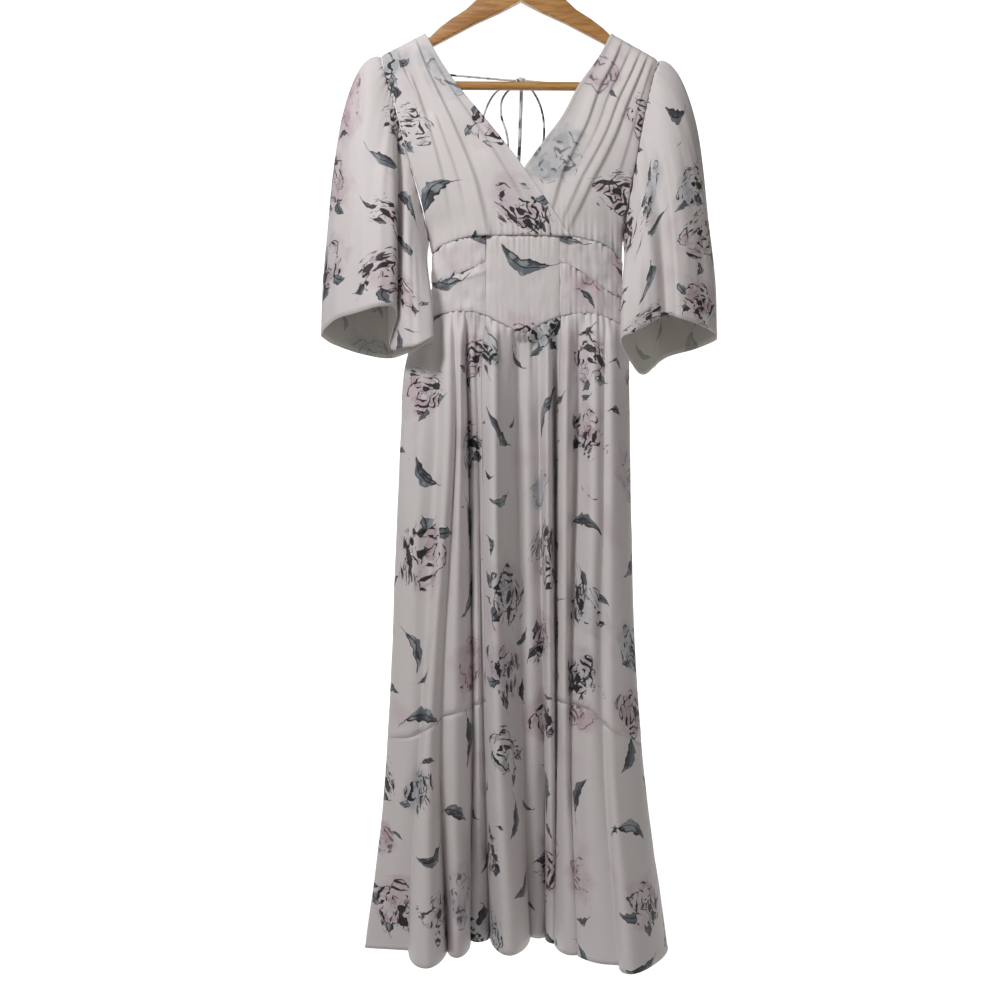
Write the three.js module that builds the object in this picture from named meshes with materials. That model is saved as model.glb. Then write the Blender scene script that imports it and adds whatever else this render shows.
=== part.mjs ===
// A maxi dress hanging on a wooden hanger, in millimetres. +Z is up, the front faces -Y, and +X is
// the wearer's left. The origin is the inside top of the hook, where the rail bears.
// Every cloth piece is a wall of even thickness about a smooth surface, which is worked out from
// the edges, sections and folds in the tables below.
import * as THREE from 'three';

const clothWall = 1.2;      // thickness of the cloth walls
const seamGap = 0.3;        // gap between two sewn pieces on one surface
const turnGap = 1.5;        // gap where two pieces meet at an angle
const pleatGap = 1.2;       // gap where folded edges meet
const sideGap = 2.4;        // gap where the bodice's walls meet at the side and the armhole
const armholeStand = 0.5;   // how far a sleeve starts outside the armhole
const hemZ = -1475;         // level of the skirt's hem
const lapDepth = 1.9;       // how far each layer of the crossed front stands off their middle
const shoulderRadius = 9;   // round of the cloth over the hanger's arms
const armThickness = 12;    // hanger arms, front to back
const barRadius = 6.3;
const hookWireRadius = 2;
const hookRadius = 20;      // inside of the hook

const finishes = {
  cloth: { color: 0xd6d1d2, roughness: 0.55, metalness: 0 },
  tie: { color: 0x55545a, roughness: 0.6, metalness: 0 },
  wood: { color: 0x96693a, roughness: 0.4, metalness: 0 },
  bar: { color: 0xaa7d42, roughness: 0.4, metalness: 0 },
  steel: { color: 0xb8bac0, roughness: 0.3, metalness: 1 },
};

// ---- tables ---------------------------------------------------------------------------------

// The torso, from the top of the midriff to the waist seam: side to side, and depth in front and behind.
const torsoSections = [
  { z: -580, right: -134, left: 153, front: 36, back: 30 },
  { z: -510, right: -130, left: 147, front: 35, back: 28 },
  { z: -440, right: -131, left: 147, front: 35, back: 27 },
];

// Height of the three midriff seams, from side to side.
const topSeam = [
  { x: -131, z: -465 }, { x: -113, z: -455 }, { x: -88, z: -447 }, { x: -60, z: -444 },
  { x: 70, z: -445 }, { x: 103, z: -450 }, { x: 124, z: -457 }, { x: 147, z: -475 },
];
const rightPanelSeam = [{ x: -131, z: -511 }, { x: -101, z: -501 }, { x: -51, z: -481 }];
const leftPanelSeam = [
  { x: 54, z: -480 }, { x: 77, z: -489 }, { x: 106, z: -508 }, { x: 147, z: -534 },
];
const waistSeam = [
  { x: -134, z: -557 }, { x: -101, z: -551 }, { x: -73, z: -552 }, { x: -55, z: -556 },
  { x: -28, z: -570 }, { x: 4, z: -583 }, { x: 28, z: -571 }, { x: 49, z: -562 },
  { x: 70, z: -556 }, { x: 100, z: -554 }, { x: 125, z: -559 }, { x: 153, z: -572 },
];
const backWaistZ = { right: -557, left: -572 };
const backTopZ = { right: -465, left: -475 };

// Edges of the bodice pieces, from the shoulder down (down = 0) to the midriff (down = 1).
const rightNeckEdge = [
  { down: 0, x: -139, z: -145 }, { down: 0.15, x: -113, z: -192 }, { down: 0.28, x: -85, z: -232 },
  { down: 0.41, x: -55, z: -269 }, { down: 0.53, x: -28, z: -303 }, { down: 0.66, x: 1, z: -342 },
  { down: 0.87, x: 44, z: -405 }, { down: 1, x: 71, z: -445 },
];
const leftNeckEdge = [
  { down: 0, x: 131, z: -145 }, { down: 0.13, x: 111, z: -183 }, { down: 0.26, x: 83, z: -223 },
  { down: 0.42, x: 59, z: -269 }, { down: 0.55, x: 31, z: -308 }, { down: 0.67, x: 4, z: -346 },
  { down: 0.85, x: -25, z: -400 }, { down: 1, x: -48, z: -445 },
];
const rightArmEdge = [
  { down: 0, x: -203, z: -178 }, { down: 0.13, x: -194, z: -215 }, { down: 0.24, x: -183, z: -247 },
  { down: 0.46, x: -167, z: -311 }, { down: 0.6, x: -156, z: -350 }, { down: 0.73, x: -145, z: -388 },
  { down: 0.94, x: -133, z: -448 }, { down: 1, x: -131, z: -465 },
];
const leftArmEdge = [
  { down: 0, x: 199, z: -184 }, { down: 0.1, x: 190, z: -212 }, { down: 0.23, x: 181, z: -250 },
  { down: 0.46, x: 168, z: -318 }, { down: 0.65, x: 158, z: -374 }, { down: 0.8, x: 151, z: -418 },
  { down: 0.92, x: 148, z: -448 }, { down: 1, x: 147, z: -475 },
];
const rightBackEdge = [
  { down: 0, x: -139, z: -145 }, { down: 0.18, x: -122, z: -200 }, { down: 0.34, x: -92, z: -250 },
  { down: 0.52, x: -58, z: -308 }, { down: 0.7, x: -24, z: -365 }, { down: 0.82, x: 0, z: -405 },
  { down: 1, x: 8, z: -468 },
];
const leftBackEdge = [
  { down: 0, x: 131, z: -145 }, { down: 0.17, x: 119, z: -195 }, { down: 0.33, x: 93, z: -245 },
  { down: 0.52, x: 66, z: -302 }, { down: 0.7, x: 36, z: -360 }, { down: 0.82, x: 14, z: -405 },
  { down: 1, x: 8, z: -470 },
];

// How far the bodice stands in front of and behind the hanger, at its middle and its armholes.
const bodiceDepth = [
  { z: -470, front: 35, frontArm: 0, back: 27, backArm: 0 },
  { z: -448, front: 35, frontArm: 3, back: 26, backArm: 3 },
  { z: -400, front: 35, frontArm: 12, back: 23, backArm: 11 },
  { z: -350, front: 31, frontArm: 18, back: 20, backArm: 15 },
  { z: -300, front: 26, frontArm: 18, back: 18, backArm: 16 },
  { z: -250, front: 21, frontArm: 13, back: 16, backArm: 14 },
  { z: -200, front: 14, frontArm: 9.5, back: 12, backArm: 10 },
  { z: -140, front: 9, frontArm: 9, back: 9, backArm: 9 },
];

// Pleats of the bodice: place across the piece (0 neck, 1 armhole) at the shoulder and below,
// depth of the crease, and the stretch down the piece that it runs over.
const rightPleats = [
  { top: 0.16, low: 0.2, depth: 2.5, from: 0.02, to: 0.5 },
  { top: 0.34, low: 0.34, depth: 3.5, from: 0.02, to: 0.98 },
  { top: 0.56, low: 0.52, depth: 4, from: 0.02, to: 0.96 },
  { top: 0.76, low: 0.7, depth: 3, from: 0.05, to: 0.8 },
];
const leftPleats = [
  { top: 0.18, low: 0.42, depth: 3.5, from: 0.02, to: 0.96 },
  { top: 0.42, low: 0.58, depth: 4, from: 0.02, to: 0.98 },
  { top: 0.66, low: 0.74, depth: 3, from: 0.03, to: 0.7 },
];

// The seams between the skirt's panels, by fold number round the skirt.
const [rightSide, rightSeam, leftSeam, leftSide, backSeam, round] = [0, 8.3, 14.5, 20, 25, 30];

// How far the skirt's crests spread and its troughs close up, at each level.
const roundness = { high: 0.5, hip: 1.5, knee: 2.5, hem: 7 };
const skirtLevels = { waist: -565, high: -597, hip: -749, knee: -1162, hem: hemZ };

// The skirt's folds, once round from the wearer's right side: place across and depth (less is
// nearer the front) at five levels. Crests and troughs take turns.
const skirtFolds = [
  { xWaist: -134, xHigh: -162, xHip: -174, xKnee: -191, xHem: -226, yHigh: 0, yHip: 0, yKnee: 0, yHem: 22 },
  { xWaist: -122, xHigh: -139, xHip: -147, xKnee: -164, xHem: -190, yHigh: -30, yHip: -46, yKnee: -45, yHem: 5 },
  { xWaist: -112, xHigh: -119, xHip: -121, xKnee: -144, xHem: -161, yHigh: -28, yHip: -42, yKnee: -46, yHem: -5 },
  { xWaist: -102, xHigh: -103, xHip: -104, xKnee: -130, xHem: -133, yHigh: -40, yHip: -60, yKnee: -66, yHem: -80 },
  { xWaist: -93, xHigh: -94, xHip: -94, xKnee: -116, xHem: -107, yHigh: -35, yHip: -46, yKnee: -38, yHem: 5 },
  { xWaist: -84, xHigh: -86, xHip: -85, xKnee: -93, xHem: -90, yHigh: -40, yHip: -56, yKnee: -50, yHem: -34 },
  { xWaist: -75, xHigh: -79, xHip: -76, xKnee: -70, xHem: -77, yHigh: -18, yHip: -12, yKnee: -5, yHem: 58 },
  { xWaist: -66, xHigh: -70, xHip: -68, xKnee: -62, xHem: -62, yHigh: -26, yHip: -24, yKnee: -22, yHem: 42 },
  { xWaist: -56, xHigh: -61, xHip: -60, xKnee: -54, xHem: -45, yHigh: -24, yHip: -18, yKnee: -8, yHem: 60 },
  { xWaist: -35, xHigh: -39, xHip: -37, xKnee: -32, xHem: -16, yHigh: -48, yHip: -58, yKnee: -54, yHem: -25 },
  { xWaist: -9, xHigh: -8, xHip: -9, xKnee: -1, xHem: 14, yHigh: -22, yHip: -4, yKnee: 4, yHem: 66 },
  { xWaist: 7, xHigh: 10, xHip: 10, xKnee: 17, xHem: 29, yHigh: -26, yHip: -14, yKnee: -4, yHem: 58 },
  { xWaist: 23, xHigh: 25, xHip: 27, xKnee: 34, xHem: 40, yHigh: -22, yHip: 0, yKnee: 8, yHem: 74 },
  { xWaist: 36, xHigh: 37, xHip: 37, xKnee: 41, xHem: 46, yHigh: -38, yHip: -38, yKnee: -32, yHem: 32 },
  { xWaist: 49, xHigh: 49, xHip: 50, xKnee: 51, xHem: 52, yHigh: -20, yHip: 4, yKnee: 4, yHem: 54 },
  { xWaist: 65, xHigh: 64, xHip: 62, xKnee: 60, xHem: 64, yHigh: -42, yHip: -44, yKnee: -42, yHem: -15 },
  { xWaist: 83, xHigh: 82, xHip: 78, xKnee: 70, xHem: 82, yHigh: -26, yHip: -16, yKnee: -28, yHem: -22 },
  { xWaist: 104, xHigh: 104, xHip: 99, xKnee: 96, xHem: 116, yHigh: -42, yHip: -58, yKnee: -58, yHem: -62 },
  { xWaist: 121, xHigh: 119, xHip: 117, xKnee: 116, xHem: 135, yHigh: -32, yHip: -48, yKnee: -54, yHem: -72 },
  { xWaist: 131, xHigh: 130, xHip: 131, xKnee: 135, xHem: 158, yHigh: -34, yHip: -50, yKnee: -60, yHem: -102 },
  { xWaist: 153, xHigh: 154, xHip: 157, xKnee: 173, xHem: 214, yHigh: 0, yHip: 0, yKnee: 0, yHem: 26 },
  { xWaist: 131, xHigh: 136, xHip: 140, xKnee: 150, xHem: 176, yHigh: 28, yHip: 38, yKnee: 60, yHem: 100 },
  { xWaist: 100, xHigh: 104, xHip: 107, xKnee: 112, xHem: 128, yHigh: 26, yHip: 26, yKnee: 38, yHem: 66 },
  { xWaist: 70, xHigh: 74, xHip: 76, xKnee: 82, xHem: 92, yHigh: 38, yHip: 48, yKnee: 78, yHem: 128 },
  { xWaist: 40, xHigh: 41, xHip: 42, xKnee: 44, xHem: 46, yHigh: 28, yHip: 30, yKnee: 52, yHem: 98 },
  { xWaist: 8, xHigh: 8, xHip: 6, xKnee: 4, xHem: 2, yHigh: 38, yHip: 50, yKnee: 86, yHem: 134 },
  { xWaist: -26, xHigh: -26, xHip: -28, xKnee: -30, xHem: -32, yHigh: 28, yHip: 30, yKnee: 54, yHem: 98 },
  { xWaist: -58, xHigh: -60, xHip: -62, xKnee: -68, xHem: -72, yHigh: 38, yHip: 48, yKnee: 80, yHem: 128 },
  { xWaist: -88, xHigh: -92, xHip: -97, xKnee: -106, xHem: -114, yHigh: 26, yHip: 28, yKnee: 40, yHem: 84 },
  { xWaist: -122, xHigh: -126, xHip: -138, xKnee: -154, xHem: -178, yHigh: 28, yHip: 36, yKnee: 56, yHem: 98 },
];

// The slanted seams over the flounces: height at places round the skirt.
const rightFlounceSeam = [{ fold: 0, z: -1166 }, { fold: 2, z: -1152 }, { fold: 5, z: -1124 }, { fold: 8, z: -1112 }];
const leftFlounceSeam = [
  { fold: 14, z: -1108 }, { fold: 17, z: -1117 }, { fold: 18, z: -1136 }, { fold: 19, z: -1151 }, { fold: 20, z: -1177 },
];

// The sleeves, once round from the underarm, over the front to the back: where each strip leaves
// the armhole (side is -1 in front, 1 behind), how it leaves, and where it ends at the hem.
const rightSleeve = [
  { side: -1, armZ: -448, xCap: -140, yCap: -30, zCap: -492, xHem: -125, yHem: -62, zHem: -592 },
  { side: -1, armZ: -412, xCap: -152, yCap: -46, zCap: -468, xHem: -142, yHem: -74, zHem: -603 },
  { side: -1, armZ: -356, xCap: -168, yCap: -44, zCap: -430, xHem: -163, yHem: -68, zHem: -607 },
  { side: -1, armZ: -296, xCap: -187, yCap: -22, zCap: -380, xHem: -188, yHem: -30, zHem: -603 },
  { side: -1, armZ: -258, xCap: -178, yCap: -38, zCap: -350, xHem: -175, yHem: -62, zHem: -556 },
  { side: -1, armZ: -240, xCap: -188, yCap: -46, zCap: -320, xHem: -196, yHem: -78, zHem: -551 },
  { side: -1, armZ: -222, xCap: -212, yCap: -40, zCap: -280, xHem: -226, yHem: -70, zHem: -557 },
  { side: -1, armZ: -200, xCap: -240, yCap: -24, zCap: -215, xHem: -262, yHem: -44, zHem: -564 },
  { side: -1, armZ: -178, xCap: -256, yCap: 0, zCap: -170, xHem: -288, yHem: -3, zHem: -580 },
  { side: 1, armZ: -202, xCap: -246, yCap: 22, zCap: -215, xHem: -284, yHem: 16, zHem: -588 },
  { side: 1, armZ: -240, xCap: -222, yCap: 32, zCap: -275, xHem: -264, yHem: 31, zHem: -597 },
  { side: 1, armZ: -296, xCap: -198, yCap: 34, zCap: -370, xHem: -230, yHem: 37, zHem: -607 },
  { side: 1, armZ: -356, xCap: -178, yCap: 26, zCap: -430, xHem: -194, yHem: 18, zHem: -614 },
  { side: 1, armZ: -412, xCap: -164, yCap: 8, zCap: -470, xHem: -160, yHem: -28, zHem: -610 },
];
const leftSleeve = [
  { side: -1, armZ: -448, xCap: 152, yCap: -30, zCap: -492, xHem: 141, yHem: -62, zHem: -598 },
  { side: -1, armZ: -412, xCap: 162, yCap: -46, zCap: -468, xHem: 160, yHem: -74, zHem: -586 },
  { side: -1, armZ: -350, xCap: 176, yCap: -46, zCap: -430, xHem: 184, yHem: -68, zHem: -571 },
  { side: -1, armZ: -290, xCap: 190, yCap: -30, zCap: -370, xHem: 206, yHem: -48, zHem: -559 },
  { side: -1, armZ: -254, xCap: 206, yCap: -42, zCap: -320, xHem: 223, yHem: -66, zHem: -566 },
  { side: -1, armZ: -226, xCap: 222, yCap: -36, zCap: -268, xHem: 254, yHem: -50, zHem: -574 },
  { side: -1, armZ: -204, xCap: 236, yCap: -20, zCap: -222, xHem: 275, yHem: -26, zHem: -582 },
  { side: -1, armZ: -184, xCap: 246, yCap: 0, zCap: -180, xHem: 285, yHem: 2, zHem: -587 },
  { side: 1, armZ: -206, xCap: 240, yCap: 22, zCap: -222, xHem: 276, yHem: 20, zHem: -592 },
  { side: 1, armZ: -246, xCap: 220, yCap: 32, zCap: -280, xHem: 254, yHem: 32, zHem: -600 },
  { side: 1, armZ: -300, xCap: 202, yCap: 34, zCap: -370, xHem: 218, yHem: 36, zHem: -610 },
  { side: 1, armZ: -360, xCap: 188, yCap: 24, zCap: -430, xHem: 194, yHem: 16, zHem: -628 },
  { side: 1, armZ: -412, xCap: 176, yCap: 6, zCap: -470, xHem: 170, yHem: -26, zHem: -640 },
];

// Routes of the ties behind the bar, and the diameter of each.
const tieY = 17;
const tieDiameter = 3.2;
const tailDiameter = 5;
const knot = { x: 0, y: tieY, z: -208, halfWidth: 7, halfDepth: 5, halfHeight: 5.5 };
const tieRoutes = {
  tie_strap_right: { diameter: tieDiameter, points: [[-118, 13.6, -199], [-101, 15, -200.5], [-76, 16, -202.5], [-52, 16.6, -204.5], [-28, 17, -206.5], [-7.4, 17, -208]] },
  tie_strap_left: { diameter: tieDiameter, points: [[106.5, 13.6, -217], [94, 15, -216], [72, 16, -214], [48, 16.6, -212], [26, 17, -210], [7.4, 17, -208]] },
  tie_loop: {
    diameter: tieDiameter,
    points: [[-6.4, 17, -211.5], [-20, 18, -214], [-36, 19, -224], [-47, 19, -240], [-55, 18, -262], [-57, 17, -286], [-50, 16, -308],
      [-38, 15.5, -322], [-26, 15.5, -322], [-19, 16, -310], [-21, 17, -284], [-28, 17.5, -262], [-28.5, 17.5, -240], [-20, 17.5, -224], [-5, 17, -214]],
  },
  tie_tail_centre: {
    diameter: tailDiameter,
    points: [[0, 17, -213.7], [0.6, 18, -226], [0.2, 18.6, -246], [-0.8, 18.4, -268], [-1.4, 18, -290], [-2.4, 17.4, -312], [-3.4, 16.6, -334], [-4, 16, -352]],
  },
  tie_tail_left: {
    diameter: tieDiameter,
    points: [[4.9, 17, -212.4], [13, 18, -218], [22, 18.6, -230], [29, 18.2, -246], [33, 17.6, -264], [34, 17, -286], [31, 16.4, -308], [26, 16, -328]],
  },
};

// The hanger's right arm, seen from the front; the left one is its mirror image.
const armOutline = [
  [-0.15, -60], [-26, -68], [-64, -96], [-80, -111], [-102, -125], [-119, -138], [-131, -150], [-140, -155], [-175, -177],
  [-194, -191], [-203, -203], [-206, -216], [-203, -228], [-194, -233], [-184, -228],
  [-170, -194], [-150, -176], [-127, -163], [-102, -150], [-64, -130], [-33, -116], [-0.15, -98],
];
const barZ = { right: -219.5, left: -222 };
const barHalfLength = 177.3;

// ---- shape maths ----------------------------------------------------------------------------

// A smooth curve of one column over another, through every row of a table.
function through(rows, at, column) {
  const order = [...rows].sort((a, b) => a[at] - b[at]);
  const t = order.map((row) => row[at]);
  const f = order.map((row) => row[column]);
  const last = t.length - 1;
  const slope = t.map((_, i) => {
    const a = Math.max(i - 1, 0);
    const b = Math.min(i + 1, last);
    return (f[b] - f[a]) / (t[b] - t[a]);
  });
  return (x) => {
    const c = Math.min(Math.max(x, t[0]), t[last]);
    let i = 0;
    while (i < last - 1 && c > t[i + 1]) i += 1;
    const h = t[i + 1] - t[i];
    const s = (c - t[i]) / h;
    const s2 = s * s;
    const s3 = s2 * s;
    return (2 * s3 - 3 * s2 + 1) * f[i] + (s3 - 2 * s2 + s) * h * slope[i]
      + (3 * s2 - 2 * s3) * f[i + 1] + (s3 - s2) * h * slope[i + 1];
  };
}

const mix = (a, b, t) => a + (b - a) * t;
const clamp01 = (t) => Math.min(Math.max(t, 0), 1);
const smooth = (a, b, t) => {
  const s = clamp01((t - a) / (b - a));
  return s * s * (3 - 2 * s);
};
const steps = (from, to, count) => Array.from({ length: count + 1 }, (_, i) => mix(from, to, i / count));

// A closed wall about the surface at(u, v), over the given places along u and v. Each open edge
// is drawn in by its own gap, so that the piece stands clear of what it is sewn to.
function clothWallMesh(at, us, vs, gaps = {}, closedU = false) {
  const step = 1e-3;
  const columns = us.length;
  const rowsCount = vs.length;
  const middle = [];
  const normal = [];
  for (const v of vs) {
    for (const u of us) {
      const du = at(u + step, v).sub(at(u - step, v));
      const dv = at(u, v + step).sub(at(u, v - step));
      middle.push(at(u, v));
      normal.push(du.cross(dv).normalize());
    }
  }
  const id = (i, j) => j * columns + i;
  const drawIn = (i, j, ti, tj, gap) => {
    const p = middle[id(i, j)];
    p.add(middle[id(ti, tj)].clone().sub(p).setLength(gap));
  };
  for (let i = 0; i < columns; i += 1) {
    if (gaps.v0) drawIn(i, 0, i, 1, gaps.v0 / 2);
    if (gaps.v1) drawIn(i, rowsCount - 1, i, rowsCount - 2, gaps.v1 / 2);
  }
  for (let j = 0; j < rowsCount && !closedU; j += 1) {
    if (gaps.u0) drawIn(0, j, 1, j, gaps.u0 / 2);
    if (gaps.u1) drawIn(columns - 1, j, columns - 2, j, gaps.u1 / 2);
  }
  const positions = [];
  for (const side of [0.5, -0.5]) {
    middle.forEach((p, k) => {
      const q = p.clone().addScaledVector(normal[k], side * clothWall);
      positions.push(q.x, q.y, q.z);
    });
  }
  const under = middle.length;
  const faces = [];
  const quad = (a, b, c, d) => faces.push(a, b, c, a, c, d);
  const spans = closedU ? columns : columns - 1;
  const next = (i) => (i + 1) % columns;
  for (let j = 0; j < rowsCount - 1; j += 1) {
    for (let i = 0; i < spans; i += 1) {
      quad(id(i, j), id(next(i), j), id(next(i), j + 1), id(i, j + 1));
      quad(under + id(i, j), under + id(i, j + 1), under + id(next(i), j + 1), under + id(next(i), j));
    }
  }
  for (let i = 0; i < spans; i += 1) {
    const top = rowsCount - 1;
    quad(id(next(i), 0), id(i, 0), under + id(i, 0), under + id(next(i), 0));
    quad(id(i, top), id(next(i), top), under + id(next(i), top), under + id(i, top));
  }
  for (let j = 0; j < rowsCount - 1 && !closedU; j += 1) {
    const end = columns - 1;
    quad(id(0, j), id(0, j + 1), under + id(0, j + 1), under + id(0, j));
    quad(id(end, j + 1), id(end, j), under + id(end, j), under + id(end, j + 1));
  }
  const geometry = new THREE.BufferGeometry();
  geometry.setAttribute('position', new THREE.Float32BufferAttribute(positions, 3));
  geometry.setIndex(faces);
  return faceOutwards(geometry);
}

// Turns every triangle round where a closed shape's volume comes out negative.
function faceOutwards(geometry) {
  const { array } = geometry.getAttribute('position');
  const index = geometry.getIndex().array;
  const corner = (k) => new THREE.Vector3().fromArray(array, index[k] * 3);
  let volume = 0;
  for (let k = 0; k < index.length; k += 3) volume += corner(k).dot(corner(k + 1).cross(corner(k + 2)));
  if (volume < 0) geometry.setIndex(Array.from(index).reverse());
  return geometry;
}

const dressOnHanger = new THREE.Group();

function addPiece(name, geometry, finish) {
  geometry.computeVertexNormals();
  const mesh = new THREE.Mesh(geometry, new THREE.MeshStandardMaterial({ ...finish, flatShading: true }));
  mesh.name = name;
  dressOnHanger.add(mesh);
}

// ---- torso and midriff ----------------------------------------------------------------------

const torso = {
  right: through(torsoSections, 'z', 'right'),
  left: through(torsoSections, 'z', 'left'),
  front: through(torsoSections, 'z', 'front'),
  back: through(torsoSections, 'z', 'back'),
};
const torsoMiddle = (z) => (torso.right(z) + torso.left(z)) / 2;
const torsoHalf = (z) => (torso.left(z) - torso.right(z)) / 2;

// Depth of the torso's surface at a place across it.
function torsoY(x, z, side) {
  const across = Math.min(Math.abs((x - torsoMiddle(z)) / torsoHalf(z)), 1);
  const depth = side < 0 ? torso.front(z) : torso.back(z);
  return side * depth * (1 - across ** 2.4) ** 0.62;
}

// Place across the torso from a turn of -90 to 90 degrees, so that the sides get close steps.
const torsoX = (turn, z) => torsoMiddle(z) + torsoHalf(z) * Math.sin(turn);
const turnAt = (x, z) => Math.asin((x - torsoMiddle(z)) / torsoHalf(z));

const seamHeight = {
  top: through(topSeam, 'x', 'z'),
  rightPanel: through(rightPanelSeam, 'x', 'z'),
  leftPanel: through(leftPanelSeam, 'x', 'z'),
  waist: through(waistSeam, 'x', 'z'),
};

function addMidriffPanel(name, fromX, toX, upper, lower, counts) {
  const level = -510;
  const turns = steps(turnAt(fromX, level), turnAt(toX, level), counts.across);
  const surface = (turn, down) => {
    const x = torsoX(turn, level);
    const z = mix(upper(x), lower(x), down);
    return new THREE.Vector3(x, torsoY(x, z, -1), z);
  };
  const gaps = { u0: seamGap, u1: seamGap, v0: seamGap, v1: seamGap };
  addPiece(name, clothWallMesh(surface, turns, steps(1, 0, counts.down), gaps), finishes.cloth);
}

const midriffEdges = { right: -129.6, rightPanel: -51, leftPanel: 55, left: 146.6 };
const { top, rightPanel, leftPanel, waist } = seamHeight;
addMidriffPanel('midriff_centre', midriffEdges.rightPanel, midriffEdges.leftPanel, top, waist, { across: 12, down: 4 });
addMidriffPanel('midriff_upper_right', midriffEdges.right, midriffEdges.rightPanel, top, rightPanel, { across: 8, down: 2 });
addMidriffPanel('midriff_lower_right', midriffEdges.right, midriffEdges.rightPanel, rightPanel, waist, { across: 8, down: 3 });
addMidriffPanel('midriff_upper_left', midriffEdges.leftPanel, midriffEdges.left, top, leftPanel, { across: 8, down: 2 });
addMidriffPanel('midriff_lower_left', midriffEdges.leftPanel, midriffEdges.left, leftPanel, waist, { across: 8, down: 3 });

const backHeight = (ends, x) => mix(ends.right, ends.left, clamp01((x - torsoSections[1].right) / 277));

function addMidriffBack() {
  const level = -510;
  const turns = steps(turnAt(midriffEdges.left, level), turnAt(midriffEdges.right, level), 16);
  const surface = (turn, down) => {
    const x = torsoX(turn, level);
    const z = mix(backHeight(backTopZ, x), backHeight(backWaistZ, x), down);
    return new THREE.Vector3(x, torsoY(x, z, 1), z);
  };
  const gaps = { v0: seamGap, v1: seamGap, u0: seamGap, u1: seamGap };
  addPiece('midriff_back', clothWallMesh(surface, turns, steps(1, 0, 3), gaps), finishes.cloth);
}
addMidriffBack();

// ---- bodice ---------------------------------------------------------------------------------

const edgeOf = (rows) => ({ x: through(rows, 'down', 'x'), z: through(rows, 'down', 'z') });
const armX = { right: through(rightArmEdge, 'z', 'x'), left: through(leftArmEdge, 'z', 'x') };
const depthOf = {
  front: through(bodiceDepth, 'z', 'front'),
  frontArm: through(bodiceDepth, 'z', 'frontArm'),
  back: through(bodiceDepth, 'z', 'back'),
  backArm: through(bodiceDepth, 'z', 'backArm'),
};

// Depth of the bodice's surface, in front (side -1) or behind (side 1).
function bodiceY(x, z, side) {
  const middle = (armX.right(z) + armX.left(z)) / 2;
  const half = (armX.left(z) - armX.right(z)) / 2;
  const across = Math.min(Math.abs(x - middle) / half, 1);
  const centre = side < 0 ? depthOf.front(z) : depthOf.back(z);
  const arm = side < 0 ? depthOf.frontArm(z) : depthOf.backArm(z);
  return side * mix(arm, centre, 1 - across ** 2.4);
}

function pleatDepth(pleats, across, down) {
  return pleats.reduce((sum, pleat) => {
    const centre = mix(pleat.top, pleat.low, down);
    const width = 0.065;
    const reach = smooth(pleat.from, pleat.from + 0.12, down) * (1 - smooth(pleat.to - 0.25, pleat.to, down));
    return sum + pleat.depth * reach * Math.exp(-(((across - centre) / width) ** 2));
  }, 0);
}

// A bodice piece between its neck edge and its armhole edge, over the round of the shoulder.
function bodiceSurface(neckRows, armRows, side, bottomZ, pleats, lift) {
  const neck = edgeOf(neckRows);
  const arm = edgeOf(armRows);
  return (across, down) => {
    const d = clamp01(down);
    const a = clamp01(across);
    const x = mix(neck.x(d), arm.x(d), a) + (across - a) * (arm.x(d) - neck.x(d));
    const straight = mix(neck.z(d), arm.z(d), a);
    const lowX = mix(neck.x(1), arm.x(1), a);
    const archZ = (bottomZ(lowX) - mix(neck.z(1), arm.z(1), a)) * d ** 3;
    const z = straight + archZ + (down - d) * (arm.z(1) - arm.z(0));
    const below = Math.max((straight - mix(neck.z(0), arm.z(0), a)) * -1, 0);
    const overArm = Math.sqrt(1 - (1 - Math.min(below / shoulderRadius, 1)) ** 2);
    const seamBlend = smooth(0.8, 1, d);
    const open = bodiceY(x, z, side) + pleatDepth(pleats, a, d) * -side;
    const y = mix(open, torsoY(x, z, side), seamBlend) * overArm;
    return new THREE.Vector3(x, y + side * lift(x, d), z);
  };
}

const shoulderSteps = [0, 0.005, 0.014, 0.03, 0.08, 0.16, 0.28, 0.4, 0.52, 0.64, 0.76, 0.88, 1];
const downSteps = [...shoulderSteps].reverse();
const bodiceGaps = { v1: turnGap, v0: turnGap, u0: 0, u1: sideGap };
// The crossed front: the wearer's right piece lies over the left one.
const overLift = (x, d) => lapDepth * smooth(-95, -62, x) * smooth(0.5, 0.66, d);
const underLift = (x, d) => -lapDepth * (1 - smooth(80, 112, x)) * smooth(0.5, 0.66, d);
const rightFront = bodiceSurface(rightNeckEdge, rightArmEdge, -1, top, rightPleats, overLift);
const leftFront = bodiceSurface(leftNeckEdge, leftArmEdge, -1, top, leftPleats, underLift);
const backTop = (x) => backHeight(backTopZ, x);
const noLift = () => 0;
const rightBack = bodiceSurface(rightBackEdge, rightArmEdge, 1, backTop, [], noLift);
const leftBack = bodiceSurface(leftBackEdge, leftArmEdge, 1, backTop, [], noLift);

const acrossSteps = [0, 0.09, 0.18, 0.26, 0.34, 0.42, 0.5, 0.58, 0.67, 0.76, 0.87, 0.96, 1];
const mirrored = (places) => [...places].reverse();
const backSteps = [0, 0.2, 0.4, 0.6, 0.8, 0.93, 1];
const flip = (gaps) => ({ ...gaps, u0: gaps.u1, u1: gaps.u0 });
addPiece('front_bodice_right', clothWallMesh(rightFront, mirrored(acrossSteps), downSteps, flip(bodiceGaps)), finishes.cloth);
addPiece('front_bodice_left', clothWallMesh(leftFront, acrossSteps, downSteps, bodiceGaps), finishes.cloth);
const backGaps = { ...bodiceGaps, u0: seamGap };
addPiece('back_bodice_right', clothWallMesh(rightBack, backSteps, downSteps, backGaps), finishes.cloth);
addPiece('back_bodice_left', clothWallMesh(leftBack, mirrored(backSteps), downSteps, flip(backGaps)), finishes.cloth);

// ---- sleeves --------------------------------------------------------------------------------

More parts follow.
